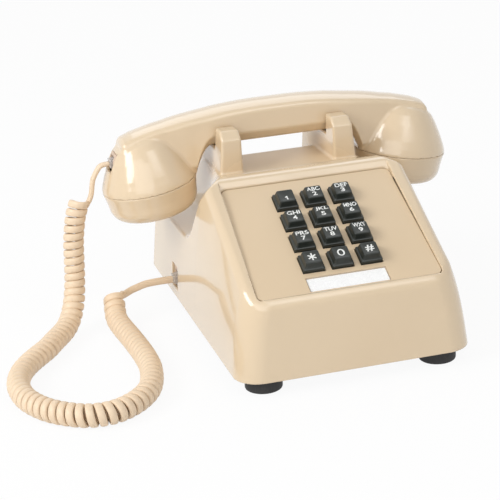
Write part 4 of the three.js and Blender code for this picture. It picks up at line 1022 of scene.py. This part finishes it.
def make_key(name, node, u0, v0):
    points = []
    for half, radius, n in key_rings:
        ring = rounded_square(half, radius)
        points.append(from_face(u0 + ring[:, 0], v0 + ring[:, 1], np.full(len(ring), float(n))))
    key = make_mesh(name, np.concatenate(points), ring_faces(len(key_rings), len(points[0])))
    key.data.set_sharp_from_angle(angle=SHARP_ANGLE)
    return attach(key, key_black, node, "black_plastic", node)


def node_on_face(name):
    p = mesh_points(nodes[name].data)
    _, v, n = face_place(*p.T)
    return (p[:, 0].min() + p[:, 0].max()) / 2, (v.min() + v.max()) / 2, n.max()


print("key_5 on the face:", [round(float(v), 2) for v in node_on_face("key_5")])

# %% [markdown]
# ## Legends on the keys
# The white digits and letters are text objects in the plain built-in typeface, turned into thin meshes
# and laid on each key's dished top. Every corner is lifted to the dish's height where it stands. The
# 1 and the star would come out blunt, so they are drawn as straight strokes instead.

# %% Flat signs
def legend(name, text, width, height, weight):
    """Flat text, centred, stretched to a width and height in millimetres: its points and faces."""
    data = bpy.data.curves.new(name, "FONT")
    data.body = text
    data.size = 1.0
    data.offset = weight
    data.extrude = 0.004
    data.resolution_u = 6
    words = new_object(name, data)
    bpy.context.view_layer.update()
    graph = bpy.context.evaluated_depsgraph_get()
    mesh = bpy.data.meshes.new_from_object(words.evaluated_get(graph))
    points = mesh_points(mesh) * MM
    faces = [tuple(f.vertices) for f in mesh.polygons]
    bpy.data.objects.remove(words)
    low, high = points.min(axis=0), points.max(axis=0)
    points[:, :2] -= (low[:2] + high[:2]) / 2
    points[:, :2] *= np.array([width, height]) / (high[:2] - low[:2])
    return points, faces


def drawn(strokes, width, height):
    """A sign of straight strokes, in a box two units wide and high, as the same kind of mesh."""
    points, faces = [], []
    for a, b, breadth in strokes:
        a, b = (np.array(p) * (width / 2, height / 2) for p in (a, b))
        along = (b - a) / np.linalg.norm(b - a)
        beside = np.array((-along[1], along[0])) * breadth / 2
        start = len(points)
        for level in (-1.0, 1.0):
            corners = (a - beside, b - beside, b + beside, a + beside)
            points.extend((*corner, level) for corner in corners)
        ring = [(0, 3, 2, 1), (4, 5, 6, 7)] + [(i, (i + 1) % 4, (i + 1) % 4 + 4, i + 4) for i in range(4)]
        faces.extend(tuple(start + i for i in face) for face in ring)
    return np.array(points), faces


STAR_ARMS = [math.radians(a) for a in (90, 30, -30)]
star = [((math.cos(a), math.sin(a)), (-math.cos(a), -math.sin(a)), 0.85) for a in STAR_ARMS]
one = [((0.25, -1), (0.25, 1), 0.8), ((0.25, 0.85), (-0.9, 0.3), 0.6)]
print("strokes of the star and the 1:", len(star), len(one))

# %% Keys and legends
LETTERS = {"2": "ABC", "3": "DEF", "4": "GHI", "5": "JKL", "6": "MNO", "7": "PRS", "8": "TUV", "9": "WXY"}
legends = {"key_star": "*", "key_hash": "#"}
SIGN_SIZES = {"*": (5.3, 5.5), "#": (5.2, 5.2), "0": (4.5, 5.2)}
DIGIT_SIZE, ONE_SIZE, LETTERS_SIZE = (2.7, 3.4), (2.0, 3.2), (7.9, 2.9)
SIGN_UP, ONE_UP, DIGIT_UP, LETTERS_UP = 0.2, -1.7, -1.25, 2.6  # from the middle of the key


def lay_on_key(name, node, parts, u0, v0):
    points, faces = [], []
    for p, f, v_shift in parts:
        start = sum(len(q) for q in points)
        u, v = p[:, 0], p[:, 1] + v_shift
        n = dish(u, v) + np.where(p[:, 2] > 0, 0.035, -0.05)
        points.append(from_face(u0 + u, v0 + v, n))
        faces.extend(tuple(start + i for i in face) for face in f)
    piece = make_mesh(name, np.concatenate(points), faces)
    piece.data.polygons.foreach_set("use_smooth", np.zeros(len(piece.data.polygons), dtype=bool))
    return attach(piece, legend_white, node, "black_plastic")


keys = [n for n in nodes if n.startswith("key_")]
for node in keys:
    u0, v0, _ = node_on_face(node)
    make_key(node + "_cap", node, u0, v0)
    text = legends.get(node, node[-1])
    if text == "*":
        parts = [(*drawn(star, *SIGN_SIZES[text]), SIGN_UP)]
    elif text in SIGN_SIZES:
        weight = 0.0 if text == "0" else 0.02
        parts = [(*legend(node + "_sign", text, *SIGN_SIZES[text], weight), SIGN_UP)]
    elif text == "1":
        parts = [(*drawn(one, *ONE_SIZE), ONE_UP)]
    else:
        digit = legend(node + "_digit", text, *DIGIT_SIZE, 0.025)
        letters = legend(node + "_letters", LETTERS[text], *LETTERS_SIZE, 0.022)
        parts = [(*digit, DIGIT_UP), (*letters, LETTERS_UP)]
    lay_on_key(node + "_legend", node, parts, u0, v0)
print("keys made:", len(keys))

# %% [markdown]
# ## Parts kept from the frame
# The face plate, the number card, the screws and the works inside already have their true shapes. They
# only need softened edges, by a narrow bevel that leaves flat faces alone, and their finishes. Where a
# part's shape is right, a modifier is better than a new piece: the frame's own part stays in place.

# %% Finishes for the kept parts
def keep(name, material, edge):
    part = nodes[name]
    part.data.materials.clear()
    part.data.materials.append(material)
    weld = part.modifiers.new("weld", "WELD")
    weld.merge_threshold = 0.00001
    if edge:
        soft = part.modifiers.new("soft_edges", "BEVEL")
        soft.width = edge * MM
        soft.segments = 2
        soft.limit_method = "ANGLE"
        soft.angle_limit = math.radians(35)
        soft.harden_normals = False


# a finish, the width of the soft edge, and the parts that have them
kept = [
    (white_card, 0, "number_card"),
    (clear_window, 0.15, "card_window"),
    (beige_satin, 0.15, "face_plate"),
    (beige_satin, 0.5, "plunger_left plunger_right"),
    (zinc_steel, 0.15, "housing_screw_front housing_screw_rear gong_screw_left gong_screw_right clapper"),
    (zinc_steel, 0.2, "hook_lever hook_bracket ringer_bracket transmitter_capsule"),
    (zinc_steel, 0.25, "base_plate"),
    (gong_brass, 0.1, "hook_contacts"),
    (gong_brass, 0.2, "gong_left gong_right"),
    (part_grey, 0.2, "keypad_frame volume_wheel receiver_capsule"),
    (part_grey, 0.3, "network_block"),
    (board_brown, 0.1, "keypad_board"),
    (coil_wrap, 0.3, "ringer_coil"),
    (cup_black, 0.2, "transmitter_cup"),
]
for material, edge, names in kept:
    for name in names.split():
        keep(name, material, edge)
print("kept parts:", sum(len(names.split()) for _, _, names in kept))

# %% [markdown]
# ## Jacks and plugs
# Each jack is a small block let into the wall, cut off level with it, with a square mouth for the
# plug. Cutting it off level is easy with distances: it is what lies both in the block and inside the
# wall's outer surface. A plug is a clear block with a sprung tab on top, and hardly shows outside.

# %% Jacks
JACK_GRID, SMALL_FACES = 0.55, 14000
SIDE_Y, SIDE_Z = 41.0, 20.6


def mouth(first_x, last_x, y, z):
    return (first_x, y - 4.2, z - 3.4), (last_x, y + 4.2, z + 5.2)


def make_jack(name, node, wall, opening, body, trim=(0, 0)):
    low, high = node_box(node)
    low[2] += trim[0]
    high[2] -= trim[1]

    def jack_distance(x, y, z):
        block = block_distance(x, y, z, low, high)
        block = both(block, wall(x, y, z) + 0.25, 0.3)
        return less(block, block_distance(x, y, z, *opening), 0.2)

    jack = moulding(name, jack_distance, low - 2, high + 2, JACK_GRID, SMALL_FACES)
    return attach(jack, jack_cream, body, "dark_plastic", node)


side_mouth = mouth(-90, -61, SIDE_Y, SIDE_Z)
line_mouth = ((36 - 4.8, 100.5, 15.0), (36 + 4.8, 130, 21.8))
ear_mouth = mouth(-130, -95, CHANNEL_Y, 102.4)
make_jack("side_jack", "cord_jack", outside, side_mouth, "base")
make_jack("rear_jack", "line_jack", outside, line_mouth, "base")
make_jack("handset_socket", "handset_jack", handset_outside, ear_mouth, "handset", JACK_TRIM)
print("the side jack's mouth is at", side_mouth[0])

# %% Plugs
PLUG_GRID = 0.4
PLUG_WIDE, PLUG_HIGH = 3.7, 2.9  # half of each


def make_plug(name, node, body, inner_x, outer_x, centre_y, centre_z):
    """A clear plug that runs along X, with its sprung tab above it."""
    low = np.array((outer_x, centre_y - PLUG_WIDE, centre_z - PLUG_HIGH))
    high = np.array((inner_x, centre_y + PLUG_WIDE, centre_z + PLUG_HIGH))

    def plug_distance(x, y, z):
        block = both(block_distance(x, y, z, low, high), np.abs(y - centre_y) - PLUG_WIDE, 0.8)
        waist = np.maximum(np.hypot(x - outer_x, z - centre_z + 3.6) - 1.6, -5 - y)
        block = less(block, waist, 0.4)
        run = np.abs(x - outer_x)
        lift = z - centre_z - 3.0 - 0.12 * run
        tab = np.maximum(np.maximum(np.abs(lift) - 0.5, np.abs(y - centre_y) - 2.2), run - 7)
        return either(block, both(tab, -np.minimum(x - low[0] + 0.4, high[0] + 0.4 - x), 0.3), 0.4)

    plug = moulding(name, plug_distance, low - 2.5, high + 3.5, PLUG_GRID, SMALL_FACES)
    return attach(plug, clear_plug, body, "clear_plastic", node)


base_plug = make_plug("base_plug_clear", "base_plug", "base", -62, -72.4, SIDE_Y, SIDE_Z)
handset_plug = make_plug("handset_plug_clear", "handset_plug", "handset", -97, -106.9, CHANNEL_Y, 102.5)
(wire[0] * MM).tolist()
(wire * MM).tolist()
print("plugs on the cord:", handset_plug.name, base_plug.name)

# %% [markdown]
# ## The feet
# The feet are rubber pucks. Turned shapes are the easiest of all: one outline with rounded corners,
# spun about an upright axis, with a shallow round hollow underneath as such feet have.

# %% Feet
def turned(name, outline, centre, steps=64):
    ring = np.linspace(0, 2 * math.pi, steps, endpoint=False)
    points = [
        (centre[0] + r * math.cos(a), centre[1] + r * math.sin(a), z) for r, z in outline for a in ring
    ]
    return make_mesh(name, points, ring_faces(len(outline), steps))


foot_outline = [
    (0.4, 0.7), (6.4, 0.7), (6.8, 0.5), (7.1, 0.1), (7.5, 0), (9.6, 0), (10.2, 0.12), (10.7, 0.5),
    (10.95, 1.1), (11, 1.8), (11, 8.2), (10.9, 8.7), (10.5, 9.0), (3.0, 9.0), (3.0, 14.0), (2.6, 14.6),
    (0.4, 14.8),
]
for where in ("front_left", "front_right", "rear_left", "rear_right"):
    low, high = node_box("foot_" + where)
    centre = (low + high) / 2
    stretch = (high[2] - low[2]) / foot_outline[-1][1]
    outline = [(r, z if z < 10 else z * stretch) for r, z in foot_outline]  # only the stem is stretched
    foot = turned("rubber_foot_" + where, outline, centre)
    foot.data.set_sharp_from_angle(angle=SHARP_ANGLE)
    attach(foot, black_rubber, "base", "black_rubber", "foot_" + where)
print("feet stand", round(float(high[2] - low[2]), 1), "mm high with their stems")

# %% [markdown]
# ## Floor, lamps and sky
# The telephone stands on a plain white table in soft light. On the left are a long narrow lamp, whose
# streak lies on the cups as a window's would, and a broad one. On the right three soft boxes sit one
# inside another, so their reflection fades towards its edge. A weak bluish lamp behind lights the
# handle's top, and a pale sky fills the shadows. The table shows itself to the camera as white paper
# would, and keeps a part of the shadow. No lamp is strong enough to burn out the pale plastic.

# %% Table and sky
WHITE = (1, 1, 1, 1)
PAPER_SHARE = 0.92  # how much of the table's look is plain paper, and not light and shadow


def make_floor(half=6.0):
    mesh = bpy.data.meshes.new("table_top")
    corners = [(-half, -half, 0), (half, -half, 0), (half, half, 0), (-half, half, 0)]
    mesh.from_pydata(corners, [], [(0, 1, 2, 3)])
    floor = new_object("table_top", mesh)
    finish = Finish("table_white", Base_Color=(0.86, 0.86, 0.86, 1), Roughness=0.9)
    glow = finish.node("ShaderNodeEmission", {"Color": WHITE, "Strength": 1.0})
    shader = Wire(finish, finish.shader.outputs[0])
    out = next(n for n in finish.tree.nodes if n.type == "OUTPUT_MATERIAL")
    share = PAPER_SHARE * finish.looked_at()
    mixed = finish.node("ShaderNodeMixShader", {0: share, 1: shader, 2: glow})
    finish.tree.links.new(mixed.socket, out.inputs["Surface"])
    mesh.materials.append(finish.material)


def make_sky(strength):
    world = bpy.data.worlds.new("pale_sky")
    world.use_nodes = True
    bpy.context.scene.world = world
    world.node_tree.nodes.clear()
    sky = Nodes(world.node_tree)
    dim, paper = (sky.node("ShaderNodeBackground", {"Color": WHITE, "Strength": v}) for v in (strength, 1.0))
    mixed = sky.node("ShaderNodeMixShader", {0: sky.looked_at(), 1: dim, 2: paper})
    sky.node("ShaderNodeOutputWorld", {"Surface": mixed})


make_floor()
make_sky(0.43)
print("floor and sky:", bpy.context.scene.world.name)

# %% Lamps
TARGET = (0, 0, 0.1)


def lamp(name, place, target, size, power, tint=(1, 1, 1)):
    data = bpy.data.lights.new(name, "AREA")
    data.shape = "RECTANGLE"
    data.size, data.size_y = size
    data.energy = power
    data.color = tint
    light = new_object(name, data)
    light.location = place
    aim = Vector(target) - Vector(place)
    light.rotation_euler = aim.to_track_quat("-Z", "Y").to_euler()
    return light


def towards(turn, rise, distance):
    """A place seen from the target at an angle round it from the front, to the right, and up."""
    turn, rise = math.radians(turn), math.radians(rise)
    level = distance * math.cos(rise)
    x, y, z = TARGET
    return x + level * math.sin(turn), y - level * math.cos(turn), z + distance * math.sin(rise)


def strip_lamp(name, first, second, distance, width, power):
    """A long narrow lamp whose ends are seen in two directions."""
    a, b = Vector(towards(*first, distance)), Vector(towards(*second, distance))
    middle = (a + b) / 2
    strip = lamp(name, middle, TARGET, ((b - a).length, width), power)
    back = (middle - Vector(TARGET)).normalized()
    long_way = (b - a).normalized()
    long_way = (long_way - back * long_way.dot(back)).normalized()
    turn = Matrix((long_way, back.cross(long_way), back)).transposed()
    strip.rotation_euler = turn.to_euler()


strip_lamp("window", (-100, 42), (-62, 21), 1.5, 0.5, 10.5)
lamp("near_left", towards(-30, 26, 1.9), (0, 0, 0.08), (1.5, 1.2), 8.3)
lamp("high_back", towards(163, 42, 1.8), TARGET, (1.6, 0.8), 4.5, (0.93, 0.96, 1.0))
for width in (0.55, 0.8, 1.05):
    lamp("softbox", towards(18, 48, 1.7), TARGET, (width, width), 2.2)
bpy.context.scene.view_settings.view_transform = "Standard"
